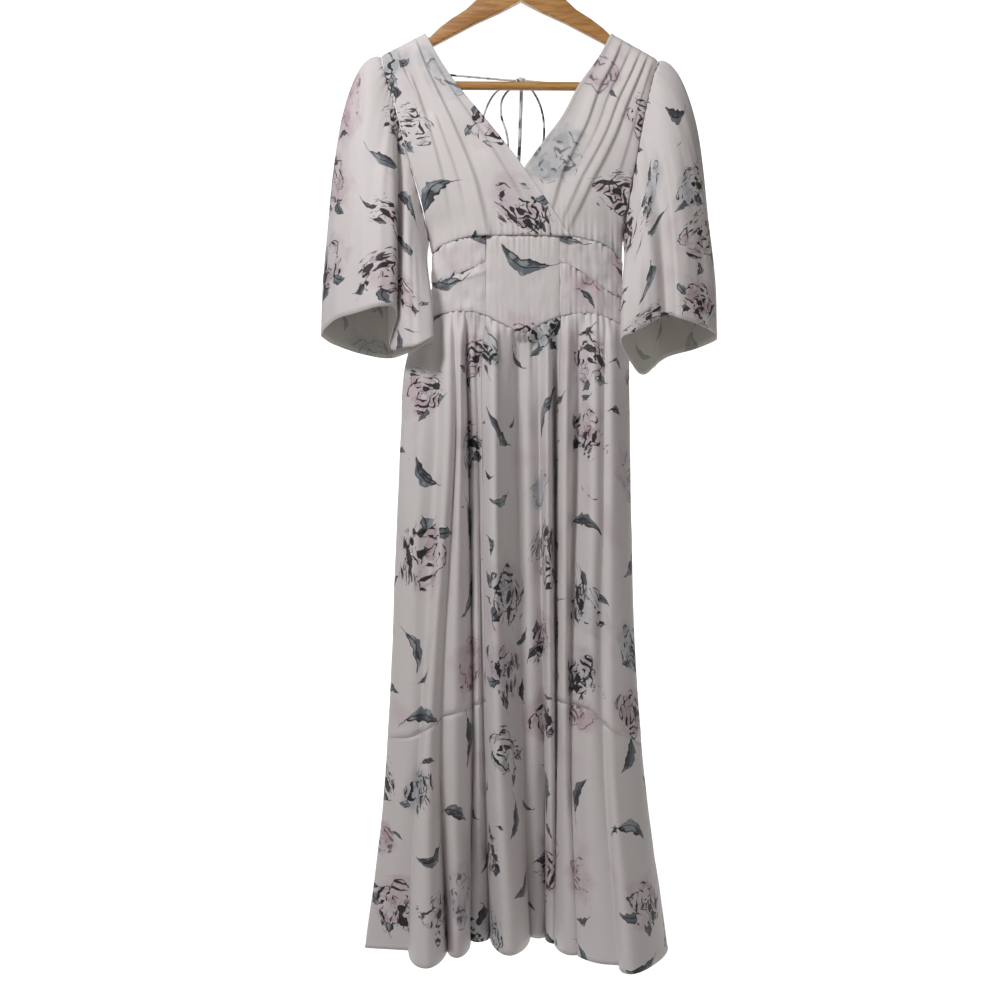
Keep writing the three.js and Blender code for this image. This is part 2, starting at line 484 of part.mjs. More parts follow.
function ring(values, closed = true) {
  const count = values.length;
  return (s) => {
    const i = Math.floor(s);
    const t = s - i;
    const pick = (k) => (closed ? values[((k % count) + count) % count] : values[Math.min(Math.max(k, 0), count - 1)]);
    const [p0, p1, p2, p3] = [pick(i - 1), pick(i), pick(i + 1), pick(i + 2)];
    return 0.5 * (2 * p1 + (p2 - p0) * t + (2 * p0 - 5 * p1 + 4 * p2 - p3) * t * t
      + (3 * p1 - p0 - 3 * p2 + p3) * t * t * t);
  };
}

function armholePoint(row, x) {
  const depth = row.side < 0 ? depthOf.frontArm(row.armZ) : depthOf.backArm(row.armZ);
  const atTip = row.armZ > -190 ? 0 : 1;
  const armX = x(row.armZ);
  return { x: armX + Math.sign(armX) * armholeStand, y: row.side * depth * atTip, z: row.armZ };
}

function sleeveSurface(rows, x) {
  const strips = rows.map((row, i) => {
    const arm = armholePoint(row, x);
    if (i === 0) arm.y = 0;
    const hem = { x: row.xHem, y: row.yHem, z: row.zHem };
    const fall = { x: mix(hem.x, arm.x, 0.12), y: mix(hem.y, arm.y, 0.35), z: mix(hem.z, arm.z, 0.62) };
    return { arm, cap: { x: row.xCap, y: row.yCap, z: row.zCap }, fall, hem };
  });
  const track = {};
  for (const part of ['arm', 'cap', 'fall', 'hem']) {
    track[part] = {};
    for (const axis of ['x', 'y', 'z']) track[part][axis] = ring(strips.map((strip) => strip[part][axis]));
  }
  return (strip, down) => {
    const t = down;
    const w = [(1 - t) ** 3, 3 * t * (1 - t) ** 2, 3 * t * t * (1 - t), t ** 3];
    const value = (axis) => w[0] * track.arm[axis](strip) + w[1] * track.cap[axis](strip)
      + w[2] * track.fall[axis](strip) + w[3] * track.hem[axis](strip);
    return new THREE.Vector3(value('x'), value('y'), value('z'));
  };
}

const sleeveDown = [1, 0.84, 0.66, 0.48, 0.3, 0.14, 0.05, 0];
const stepsPerStrip = 2;
const rightSleeveSurface = sleeveSurface(rightSleeve, armX.right);
const leftSleeveSurface = sleeveSurface(leftSleeve, armX.left);
const roundRight = steps(0, rightSleeve.length, rightSleeve.length * stepsPerStrip).slice(0, -1);
const roundLeft = steps(0, leftSleeve.length, leftSleeve.length * stepsPerStrip).slice(0, -1);
addPiece('sleeve_right', clothWallMesh(rightSleeveSurface, mirrored(roundRight), sleeveDown, { v1: turnGap }, true), finishes.cloth);
addPiece('sleeve_left', clothWallMesh(leftSleeveSurface, roundLeft, sleeveDown, { v1: turnGap }, true), finishes.cloth);

// ---- skirt ----------------------------------------------------------------------------------

function foldTrack(prefix) {
  return ring(skirtFolds.map((row) => row[prefix]));
}
const foldAt = {
  waist: { x: foldTrack('xWaist') },
  high: { x: foldTrack('xHigh'), y: foldTrack('yHigh') },
  hip: { x: foldTrack('xHip'), y: foldTrack('yHip') },
  knee: { x: foldTrack('xKnee'), y: foldTrack('yKnee') },
  hem: { x: foldTrack('xHem'), y: foldTrack('yHem') },
};

function skirtTop(fold) {
  const x = foldAt.waist.x(fold);
  const behind = fold > leftSide && fold < round;
  const z = behind ? backHeight(backWaistZ, x) : waist(x);
  return { x, y: torsoY(x, z, behind ? 1 : -1), z };
}

// Place on the skirt: round by fold number, down from 0 at the waist seam to 1 at the hem.
function skirtPoint(fold, z) {
  const start = skirtTop(fold);
  const levels = ['high', 'hip', 'knee', 'hem'];
  const rows = [{ z: start.z, x: start.x, y: start.y }];
  for (const level of levels) {
    const spread = -roundness[level] * Math.sin(Math.PI * fold);
    rows.push({ z: skirtLevels[level], x: foldAt[level].x(fold) + spread, y: foldAt[level].y(fold) });
  }
  return new THREE.Vector3(through(rows, 'z', 'x')(z), through(rows, 'z', 'y')(z), z);
}

function addSkirtPiece(name, fromFold, toFold, upper, lower, downs, perFold = 3) {
  const surface = (fold, part) => skirtPoint(fold, mix(upper(fold), lower(fold), part));
  const folds = steps(fromFold, toFold, Math.round((toFold - fromFold) * perFold));
  const gapAt = (fold) => (fold === rightSide || fold === leftSide || fold === round ? sideGap : turnGap);
  const gaps = {
    u0: gapAt(fromFold),
    u1: gapAt(toFold),
    v1: upper === waistLine ? turnGap : pleatGap,
    v0: lower === hemLine ? 0 : pleatGap,
  };
  addPiece(name, clothWallMesh(surface, folds, mirrored(downs), gaps), finishes.cloth);
}

const waistLine = (fold) => skirtTop(fold).z;
const hemLine = () => hemZ;
const rightFlounce = through(rightFlounceSeam, 'fold', 'z');
const leftFlounce = through(leftFlounceSeam, 'fold', 'z');
const upperDowns = [0, 0.04, 0.08, 0.16, 0.28, 0.42, 0.6, 0.8, 1];
const flounceDowns = steps(0, 1, 5);
const flounceStart = 0.605;   // where the flounces start, down the whole skirt
const wholeDowns = [
  ...upperDowns.map((down) => down * flounceStart),
  ...flounceDowns.slice(1).map((down) => mix(flounceStart, 1, down)),
];
addSkirtPiece('skirt_front_right', rightSide, rightSeam, waistLine, rightFlounce, upperDowns);
addSkirtPiece('skirt_flounce_right', rightSide, rightSeam, rightFlounce, hemLine, flounceDowns);
addSkirtPiece('skirt_front_centre', rightSeam, leftSeam, waistLine, hemLine, wholeDowns);
addSkirtPiece('skirt_front_left', leftSeam, leftSide, waistLine, leftFlounce, upperDowns);
addSkirtPiece('skirt_flounce_left', leftSeam, leftSide, leftFlounce, hemLine, flounceDowns);
addSkirtPiece('skirt_back_left', leftSide, backSeam, waistLine, hemLine, wholeDowns, 2);
addSkirtPiece('skirt_back_right', backSeam, round, waistLine, hemLine, wholeDowns, 2);

// ---- ties -----------------------------------------------------------------------------------

function addTie(name, { diameter, points }) {
  const route = new THREE.CatmullRomCurve3(points.map((p) => new THREE.Vector3(...p)), false, 'centripetal');
  const section = new THREE.Shape();
  section.absarc(0, 0, diameter / 2, 0, Math.PI * 2);
  const length = route.getLength();
  const geometry = new THREE.ExtrudeGeometry(section, {
    extrudePath: route,
    steps: Math.min(Math.round(length / (diameter * 2.5)), 50),
    curveSegments: 4,
    bevelEnabled: false,
  });
  addPiece(name, geometry, finishes.tie);
}

function addKnot() {
  const geometry = new THREE.SphereGeometry(1, 12, 8);
  geometry.scale(knot.halfWidth - seamGap, knot.halfDepth, knot.halfHeight - seamGap);
  geometry.translate(knot.x, knot.y, knot.z);
  addPiece('tie_knot', geometry, finishes.tie);
}

for (const [name, tie] of Object.entries(tieRoutes)) addTie(name, tie);
addKnot();

// ---- hanger ---------------------------------------------------------------------------------

function addHangerArm(name, mirror) {
  const outline = new THREE.Shape(armOutline.map(([x, z]) => new THREE.Vector2(x * mirror, z)));
  const geometry = new THREE.ExtrudeGeometry(outline, {
    depth: armThickness - 3,
    bevelEnabled: true,
    bevelThickness: 1.5,
    bevelSize: 1.5,
    bevelOffset: -1.5,
    bevelSegments: 2,
  });
  geometry.translate(0, 0, -(armThickness - 3) / 2);
  geometry.rotateX(Math.PI / 2);
  addPiece(name, geometry, finishes.wood);
}

function addHangerBar() {
  const drop = barZ.left - barZ.right;
  const length = Math.hypot(2 * barHalfLength, drop);
  const geometry = new THREE.CylinderGeometry(barRadius, barRadius, length, 20);
  geometry.rotateZ(Math.PI / 2 + Math.atan2(drop, 2 * barHalfLength));
  geometry.applyMatrix4(new THREE.Matrix4().set(1, 0, 0, 0, 0, 0, -1, 0, 0, 1, 0, 0, 0, 0, 0, 1));
  geometry.translate(0, 0, (barZ.left + barZ.right) / 2);
  addPiece('hanger_bar', geometry, finishes.bar);
}

function addHook() {
  const centreZ = -hookRadius;
  const radius = hookRadius + hookWireRadius;
  const points = [new THREE.Vector3(0, 0, -59.6), new THREE.Vector3(0, 0, -54), new THREE.Vector3(1.5, 0, -48)];
  for (const degrees of steps(-62, 205, 14)) {
    const angle = THREE.MathUtils.degToRad(degrees);
    points.push(new THREE.Vector3(radius * Math.cos(angle), 0, centreZ + radius * Math.sin(angle)));
  }
  const route = new THREE.CatmullRomCurve3(points, false, 'centripetal');
  const section = new THREE.Shape();
  section.absarc(0, 0, hookWireRadius, 0, Math.PI * 2);
  const geometry = new THREE.ExtrudeGeometry(section, { extrudePath: route, steps: 40, curveSegments: 5, bevelEnabled: false });
  addPiece('hanger_hook', geometry, finishes.steel);
}

addHangerArm('hanger_arm_right', 1);
addHangerArm('hanger_arm_left', -1);
addHangerBar();
addHook();

export default dressOnHanger;
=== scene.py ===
import bpy
import bmesh
import math
from mathutils import Matrix, Vector, noise


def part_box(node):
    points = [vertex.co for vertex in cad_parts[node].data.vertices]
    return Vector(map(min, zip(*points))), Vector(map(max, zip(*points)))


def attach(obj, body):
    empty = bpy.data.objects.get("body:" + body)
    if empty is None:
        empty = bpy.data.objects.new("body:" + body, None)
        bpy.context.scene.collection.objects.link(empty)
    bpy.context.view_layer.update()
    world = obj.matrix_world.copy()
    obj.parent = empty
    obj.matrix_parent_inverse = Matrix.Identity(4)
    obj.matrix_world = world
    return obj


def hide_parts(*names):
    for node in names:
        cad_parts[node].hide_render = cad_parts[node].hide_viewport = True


# A maxi dress on a wooden hanger. Tables are in millimetres, meshes in metres. "Right" is the wearer's.
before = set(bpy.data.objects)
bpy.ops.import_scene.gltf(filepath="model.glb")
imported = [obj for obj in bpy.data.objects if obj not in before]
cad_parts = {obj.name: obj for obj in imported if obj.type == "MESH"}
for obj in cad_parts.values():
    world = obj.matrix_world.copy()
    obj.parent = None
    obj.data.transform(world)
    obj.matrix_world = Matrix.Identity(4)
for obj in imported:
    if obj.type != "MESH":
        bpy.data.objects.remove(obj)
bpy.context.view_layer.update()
mm = 0.001

# Camera, straight in front of the dress.
view = {"x": -0.0305, "z": -0.8213, "distance": 2.1, "lens": 52.1}
cameraData = bpy.data.cameras.new("camera")
cameraData.lens = view["lens"]
cameraData.sensor_width = 36
camera = bpy.data.objects.new("camera", cameraData)
camera.location = (view["x"], -view["distance"], view["z"])
camera.rotation_euler = (math.radians(90), 0, 0)
bpy.context.scene.collection.objects.link(camera)
bpy.context.scene.camera = camera
print("camera set")


# Curves through tables, and the small sums that every piece uses.
def table(columns, rows):
    return [dict(zip(columns, row)) for row in rows]


def through(rows, at, column):
    # a smooth curve of one column of a table over another
    pairs = sorted((row[at], row[column]) for row in rows)
    t = [pair[0] for pair in pairs]
    f = [pair[1] for pair in pairs]
    last = len(t) - 1
    slope = []
    for i in range(len(t)):
        a, b = max(i - 1, 0), min(i + 1, last)
        slope.append((f[b] - f[a]) / (t[b] - t[a]))

    def value(x):
        c = min(max(x, t[0]), t[last])
        i = 0
        while i < last - 1 and c > t[i + 1]:
            i += 1
        h = t[i + 1] - t[i]
        s = (c - t[i]) / h
        return ((2 * s ** 3 - 3 * s * s + 1) * f[i] + (s ** 3 - 2 * s * s + s) * h * slope[i]
                + (3 * s * s - 2 * s ** 3) * f[i + 1] + (s ** 3 - s * s) * h * slope[i + 1])
    return value


def ring(values):
    # a smooth closed curve through values that stand at 0, 1, 2 and so on
    count = len(values)

    def value(s):
        i = math.floor(s)
        t = s - i
        p0, p1, p2, p3 = (values[(i + k) % count] for k in (-1, 0, 1, 2))
        return 0.5 * (2 * p1 + (p2 - p0) * t + (2 * p0 - 5 * p1 + 4 * p2 - p3) * t * t
                      + (3 * p1 - p0 - 3 * p2 + p3) * t ** 3)
    return value


def mix(a, b, t):
    return a + (b - a) * t


def smooth(a, b, t):
    s = min(max((t - a) / (b - a), 0), 1)
    return s * s * (3 - 2 * s)


def steps(start, end, count):
    return [mix(start, end, i / count) for i in range(count + 1)]


def closer(count, power):
    # places from 0 to 1 that are closest together near 0
    return [(i / count) ** power for i in range(count + 1)]


def ripple(x, seed, width):
    # an uneven row of soft gathers, about width apart, from about -1 to 1
    size = 0.9 + 0.9 * noise.noise(Vector((x / (width * 3.1), seed + 9.1, 1.7)))
    wave = 1.5 * noise.noise(Vector((x / (width * 0.55), seed, 0.3)))
    return size * (0.75 * wave + 0.25 * math.sin(2 * math.pi * x / width))


def meshFrom(bm, name):
    mesh = bpy.data.meshes.new(name)
    bm.to_mesh(mesh)
    bm.free()
    return mesh


def addObject(name, data):
    piece = bpy.data.objects.new(name, data)
    bpy.context.scene.collection.objects.link(piece)
    return piece


def standFor(piece, node):
    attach(piece, "root")
    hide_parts(node)


# Shader maths: a Wire is a socket that takes part in sums, a Finish is a material.
class Wire:
    def __init__(self, sheet, socket):
        self.sheet = sheet
        self.socket = socket

    def math(self, operation, *others):
        return self.sheet.node("ShaderNodeMath", {"operation": operation}, [self, *others])

    def __add__(self, other):
        return self.math("ADD", other)

    def __radd__(self, other):
        return self.math("ADD", other)

    def __sub__(self, other):
        return self.math("SUBTRACT", other)

    def __rsub__(self, other):
        return self.sheet.node("ShaderNodeMath", {"operation": "SUBTRACT"}, [other, self])

    def __mul__(self, other):
        return self.math("MULTIPLY", other)

    def __rmul__(self, other):
        return self.math("MULTIPLY", other)

    def __truediv__(self, other):
        return self.math("DIVIDE", other)

    def __pow__(self, other):
        return self.math("POWER", other)

    def floor(self):
        return self.math("FLOOR")

    def part(self):
        return self.math("FRACT")

    def size(self):
        return self.math("ABSOLUTE")

    def sine(self):
        return self.math("SINE")

    def cosine(self):
        return self.math("COSINE")

    def root(self):
        return self.math("SQRT")

    def most(self, other):
        return self.math("MAXIMUM", other)

    def least(self, other):
        return self.math("MINIMUM", other)

    def soft(self, low, high):
        # 0 at low, 1 at high, smooth between; low may be the greater
        settings = {"interpolation_type": "SMOOTHSTEP", "clamp": True}
        return self.sheet.node("ShaderNodeMapRange", settings, [self, low, high, 0.0, 1.0])


class Finish:
    def __init__(self, name):
        self.material = bpy.data.materials.new(name)
        self.material.use_nodes = True
        self.tree = self.material.node_tree
        self.tree.nodes.clear()
        output = self.tree.nodes.new("ShaderNodeOutputMaterial")
        self.shader = self.tree.nodes.new("ShaderNodeBsdfPrincipled")
        self.tree.links.new(self.shader.outputs[0], output.inputs[0])

    def node(self, kind, settings=None, inputs=(), output=0):
        made = self.tree.nodes.new(kind)
        for key, value in (settings or {}).items():
            setattr(made, key, value)
        pairs = inputs.items() if isinstance(inputs, dict) else enumerate(inputs)
        for key, value in pairs:
            if isinstance(value, Wire):
                self.tree.links.new(value.socket, made.inputs[key])
            elif value is not None:
                made.inputs[key].default_value = value
        return Wire(self, made.outputs[output])

    def blend(self, first, second, amount, how="MIX"):
        settings = {"data_type": "RGBA", "blend_type": how, "clamp_factor": True}
        return self.node("ShaderNodeMix", settings, {0: amount, 6: first, 7: second}, 2)

    def grain(self, place, scale, detail=2.0, rough=0.5, output=0):
        inputs = {"Vector": place, "Scale": scale, "Detail": detail, "Roughness": rough}
        return self.node("ShaderNodeTexNoise", {}, inputs, output)

    def split(self, vector):
        made = self.tree.nodes.new("ShaderNodeSeparateXYZ")
        self.tree.links.new(vector.socket, made.inputs[0])
        return [Wire(self, socket) for socket in made.outputs]

    def join(self, x, y, z=0.0):
        return self.node("ShaderNodeCombineXYZ", {}, [x, y, z])

    def shift(self, vector, other, operation="ADD"):
        return self.node("ShaderNodeVectorMath", {"operation": operation}, [vector, other])

    def feed(self, **sockets):
        for key, value in sockets.items():
            name = key.replace("_", " ")
            if isinstance(value, Wire):
                self.tree.links.new(value.socket, self.shader.inputs[name])
            else:
                self.shader.inputs[name].default_value = value


def linear(*shades):
    # red, green and blue from 0 to 255
    return tuple(((c / 255 + 0.055) / 1.055) ** 2.4 if c > 10 else c / 3294 for c in shades) + (1.0,)


# Ties across the open back. Points are x, y and z from the end that is sewn or knotted.
ties = {
    "tie_strap_right": {"width": 3.2, "far": "object", "lay": "taut", "points": [
        (-118, 13.6, -199), (-101, 15, -200.5), (-76, 16, -202.5), (-52, 16.6, -204.5),
        (-28, 17, -206.5), (-7.4, 17, -208),
    ]},
    "tie_strap_left": {"width": 3.2, "far": "object", "lay": "taut", "points": [
        (106.5, 13.6, -217), (94, 15, -216), (72, 16, -214), (48, 16.6, -212), (26, 17, -210),
        (7.4, 17, -208),
    ]},
    "tie_loop": {"width": 3.2, "far": "object", "lay": "hanging", "points": [
        (-6.4, 17, -211.5), (-20, 18, -214), (-36, 19, -224), (-47, 19, -240), (-55, 18, -262),
        (-57, 17, -286), (-50, 16, -308), (-38, 15.5, -322), (-26, 15.5, -322), (-19, 16, -310),
        (-21, 17, -284), (-28, 17.5, -262), (-28.5, 17.5, -240), (-20, 17.5, -224), (-5, 17, -214),
    ]},
    "tie_tail_centre": {"width": 5.0, "far": "bare", "lay": "hanging", "points": [
        (0, 17, -213.7), (0.6, 18, -226), (0.2, 18.6, -246), (-0.8, 18.4, -268), (-1.4, 18, -290),
        (-2.4, 17.4, -312), (-3.4, 16.6, -334), (-4, 16, -352),
    ]},
    "tie_tail_left": {"width": 3.2, "far": "bare", "lay": "hanging", "points": [
        (4.9, 17, -212.4), (13, 18, -218), (22, 18.6, -230), (29, 18.2, -246), (33, 17.6, -264),
        (34, 17, -286), (31, 16.4, -308), (26, 16, -328),
    ]},
}
knotBall = {"across": 6.4, "deep": 4.6, "tall": 5.0, "y": 17, "z": -208}


def makeTieCloth():
    m = Finish("rolled tie cloth")
    place = m.node("ShaderNodeTexCoord", {}, (), 3)
    blotch = m.grain(place, 46.0, 3.0, 0.6)
    tone = m.blend(linear(214, 212, 214), linear(140, 146, 152), blotch.soft(0.48, 0.60))
    tone = m.blend(tone, linear(26, 24, 30), m.grain(place, 40.0, 2.0).soft(0.60, 0.63))
    twist = m.grain(place, 900.0, 2.0)
    bump = m.node("ShaderNodeBump", {}, {"Strength": 0.3, "Distance": 0.0004, "Height": twist})
    m.feed(Base_Color=tone, Roughness=0.55 + twist * 0.1, Normal=bump)
    m.feed(Sheen_Weight=0.2)
    return m.material


def routeOf(points, count):
    # a smooth line through the points, as count places along it
    reach = [0.0]
    for a, b in zip(points, points[1:]):
        reach.append(reach[-1] + (Vector(b) - Vector(a)).length)
    tracks = []
    for axis in range(3):
        rows = [{"at": t, "place": point[axis]} for t, point in zip(reach, points)]
        tracks.append(through(rows, "at", "place"))
    return [Vector([track(t) for track in tracks]) * mm for t in steps(0, reach[-1], count - 1)]


def makeTies():
    tieCloth = makeTieCloth()
    for name, tie in ties.items():
        route = routeOf(tie["points"], 24)
        curve = bpy.data.curves.new(name + "_roll", "CURVE")
        curve.dimensions = "3D"
        curve.bevel_depth = tie["width"] * mm / 2
        curve.bevel_resolution = 4
        curve.resolution_u = 4
        curve.use_fill_caps = True
        spline = curve.splines.new("BEZIER")
        spline.bezier_points.add(len(route) - 1)
        for knotPoint, place in zip(spline.bezier_points, route):
            knotPoint.co = place
            knotPoint.handle_left_type = knotPoint.handle_right_type = "AUTO"
        piece = addObject(name + "_roll", curve)
        curve.materials.append(tieCloth)
        standFor(piece, name)
    # the knot: a pulled-tight ball with two wraps round it
    bm = bmesh.new()
    bmesh.ops.create_uvsphere(bm, u_segments=32, v_segments=20, radius=1)
    for vert in bm.verts:
        wrap = 1 + 0.16 * math.sin(vert.co.x * 7 + vert.co.z * 3) + 0.06 * noise.noise(vert.co * 3)
        x, y, z = vert.co * wrap
        deep = y * knotBall["deep"] + knotBall["y"]
        tall = z * knotBall["tall"] + knotBall["z"]
        vert.co = Vector((x * knotBall["across"], deep, tall)) * mm
    for face in bm.faces:
        face.smooth = True
    knot = addObject("tie_knot_wraps", meshFrom(bm, "tie_knot_wraps"))
    knot.data.materials.append(tieCloth)
    standFor(knot, "tie_knot")


makeTies()
print("ties made")

# Cloth sheets: hems are turned out a little, seams and joins draw the cloth in.
cloth = {
    "thickness": 0.0011, "hemWidth": 5.0, "hemStep": 0.5,
    "seamWidth": 3.2, "seamDip": 1.3, "joinDip": 0.12,
}


def edgeLift(kind, distance):
    if kind == "hem":
        return cloth["hemStep"] * (1 - smooth(cloth["hemWidth"] - 0.8, cloth["hemWidth"], distance))
    dip = cloth["seamDip"] if kind == "seam" else cloth["joinDip"]
    return -dip * math.exp(-(distance / cloth["seamWidth"]) ** 2)


def makeSheet(name, surface, us, vs, facing, crease=None, edges=None, closed=False, uvShift=(0, 0)):
    # surface(u, v) gives a point in millimetres; facing(point) is a direction out of the cloth there
    edges = edges or {}
    columns, rows = len(us), len(vs)
    base = [[Vector(surface(u, v)) for u in us] for v in vs]
    alongU = [[0.0] * columns for _ in vs]
    alongV = [[0.0] * columns for _ in vs]
    for j in range(rows):
        for i in range(1, columns):
            alongU[j][i] = alongU[j][i - 1] + (base[j][i] - base[j][i - 1]).length
    for j in range(1, rows):
        for i in range(columns):
            alongV[j][i] = alongV[j - 1][i] + (base[j][i] - base[j - 1][i]).length
    outward = [[None] * columns for _ in vs]
    for j in range(rows):
        for i in range(columns):
            if closed:
                left, right = base[j][i - 1 if i else columns - 2], base[j][i + 1 if i < columns - 1 else 1]
            else:
                left, right = base[j][max(i - 1, 0)], base[j][min(i + 1, columns - 1)]
            up, down = base[max(j - 1, 0)][i], base[min(j + 1, rows - 1)][i]
            outward[j][i] = (right - left).cross(down - up).normalized()
    turned = 0.0
    for outs, spots in zip(outward, base):
        turned += sum(out.dot(facing(spot)) for out, spot in zip(outs, spots))
    side = 1 if turned > 0 else -1
    points = [[None] * columns for _ in vs]
    for j in range(rows):
        for i in range(columns):
            lift = crease(us[i], vs[j], base[j][i]) if crease else 0.0
            total = alongV[rows - 1][i]
            fromEdge = {"v0": alongV[j][i], "v1": total - alongV[j][i],
                        "u0": alongU[j][i], "u1": alongU[j][columns - 1] - alongU[j][i]}
            for edge, kind in edges.items():
                lift += edgeLift(kind, fromEdge[edge])
            points[j][i] = base[j][i] + outward[j][i] * side * lift
    bm = bmesh.new()
    bmesh.ops.create_grid(bm, x_segments=columns - 1, y_segments=rows - 1, size=1)
    uvLayer = bm.loops.layers.uv.new("cut")
    places = {}
    for vert in bm.verts:
        i = round((vert.co.x + 1) / 2 * (columns - 1))
        j = round((vert.co.y + 1) / 2 * (rows - 1))
        places[vert.index] = (i, j)
    for vert in bm.verts:
        i, j = places[vert.index]
        vert.co = points[j][i] * mm
    middle = columns // 2
    for face in bm.faces:
        for loop in face.loops:
            i, j = places[loop.vert.index]
            across = alongU[j][i] - alongU[j][middle]
            loop[uvLayer].uv = ((across + uvShift[0]) * mm, -(alongV[j][middle] + uvShift[1]) * mm)
    if closed:
        bmesh.ops.remove_doubles(bm, verts=bm.verts, dist=2e-5)
    bm.normal_update()
    agree = sum(face.normal.dot(facing(face.calc_center_median() / mm)) for face in bm.faces)
    if agree < 0:
        bmesh.ops.reverse_faces(bm, faces=bm.faces)
    for face in bm.faces:
        face.smooth = True
    piece = addObject(name, meshFrom(bm, name))
    wall = piece.modifiers.new("wall", "SOLIDIFY")
    wall.thickness = cloth["thickness"]
    wall.offset = -0.2
    wall.material_offset = 1
    wall.use_even_offset = False
    return piece


def finishSheet(piece, node):
    piece.data.materials.append(clothOutside)
    piece.data.materials.append(clothInside)
    standFor(piece, node)


# The printed cloth, in metres over its own cut.
printed = {
    "ground": linear(224, 220, 222), "groundWarm": linear(219, 214, 212), "ink": linear(22, 20, 26),
    "leaf": linear(98, 106, 114), "leafDark": linear(48, 53, 62), "leafPale": linear(156, 163, 168),
    "pink": linear(203, 178, 188), "pinkDeep": linear(178, 150, 162), "grey": linear(170, 176, 184),
    "cell": 0.112, "jitter": 0.024, "smallCell": 0.079, "wobble": 0.011, "fray": 0.0016,
    "roseRadius": 0.035, "rings": 84.0, "blot": 0.0070, "leafLength": 0.034, "leafWidth": 0.0080,
    "thread": 0.0012, "wrongSideLitThrough": linear(206, 203, 193),
}


def leafInk(x, y, bend, length, width, brush, streak):
    # a curved leaf along x, running out into fine tails: its inside, its ink and its place from edge to edge
    along = x / length
    curve = y - along * along * (bend * length) + along * (0.3 * bend * length)
    taper = (1.0 - along * along).most(0.0) * (1.12 + along * 0.3)
    wave = 1.0 + ((along + brush) * 9.0).sine() * 0.16
    half = taper * wave * width
    inside = (half - curve.size()).soft(-0.0004, 0.0006)
    rim = (half - curve.size()).size().soft(0.0013, 0.0003)
    rim = rim * (curve + (brush - 0.5) * 0.012).soft(-0.001, 0.002)
    rim = rim * along.size().soft(1.02, 0.94)
    tail = curve.size().soft(0.0010, 0.0003) * along.size().soft(1.5, 1.25) * (along + 0.55).soft(-0.12, 0.1)
    blades = streak.soft(0.57, 0.66) * inside * (curve / width).soft(-0.5, 0.5)
    ink = (rim + tail + blades * 0.8).least(1.0)
    return inside, ink, curve / width


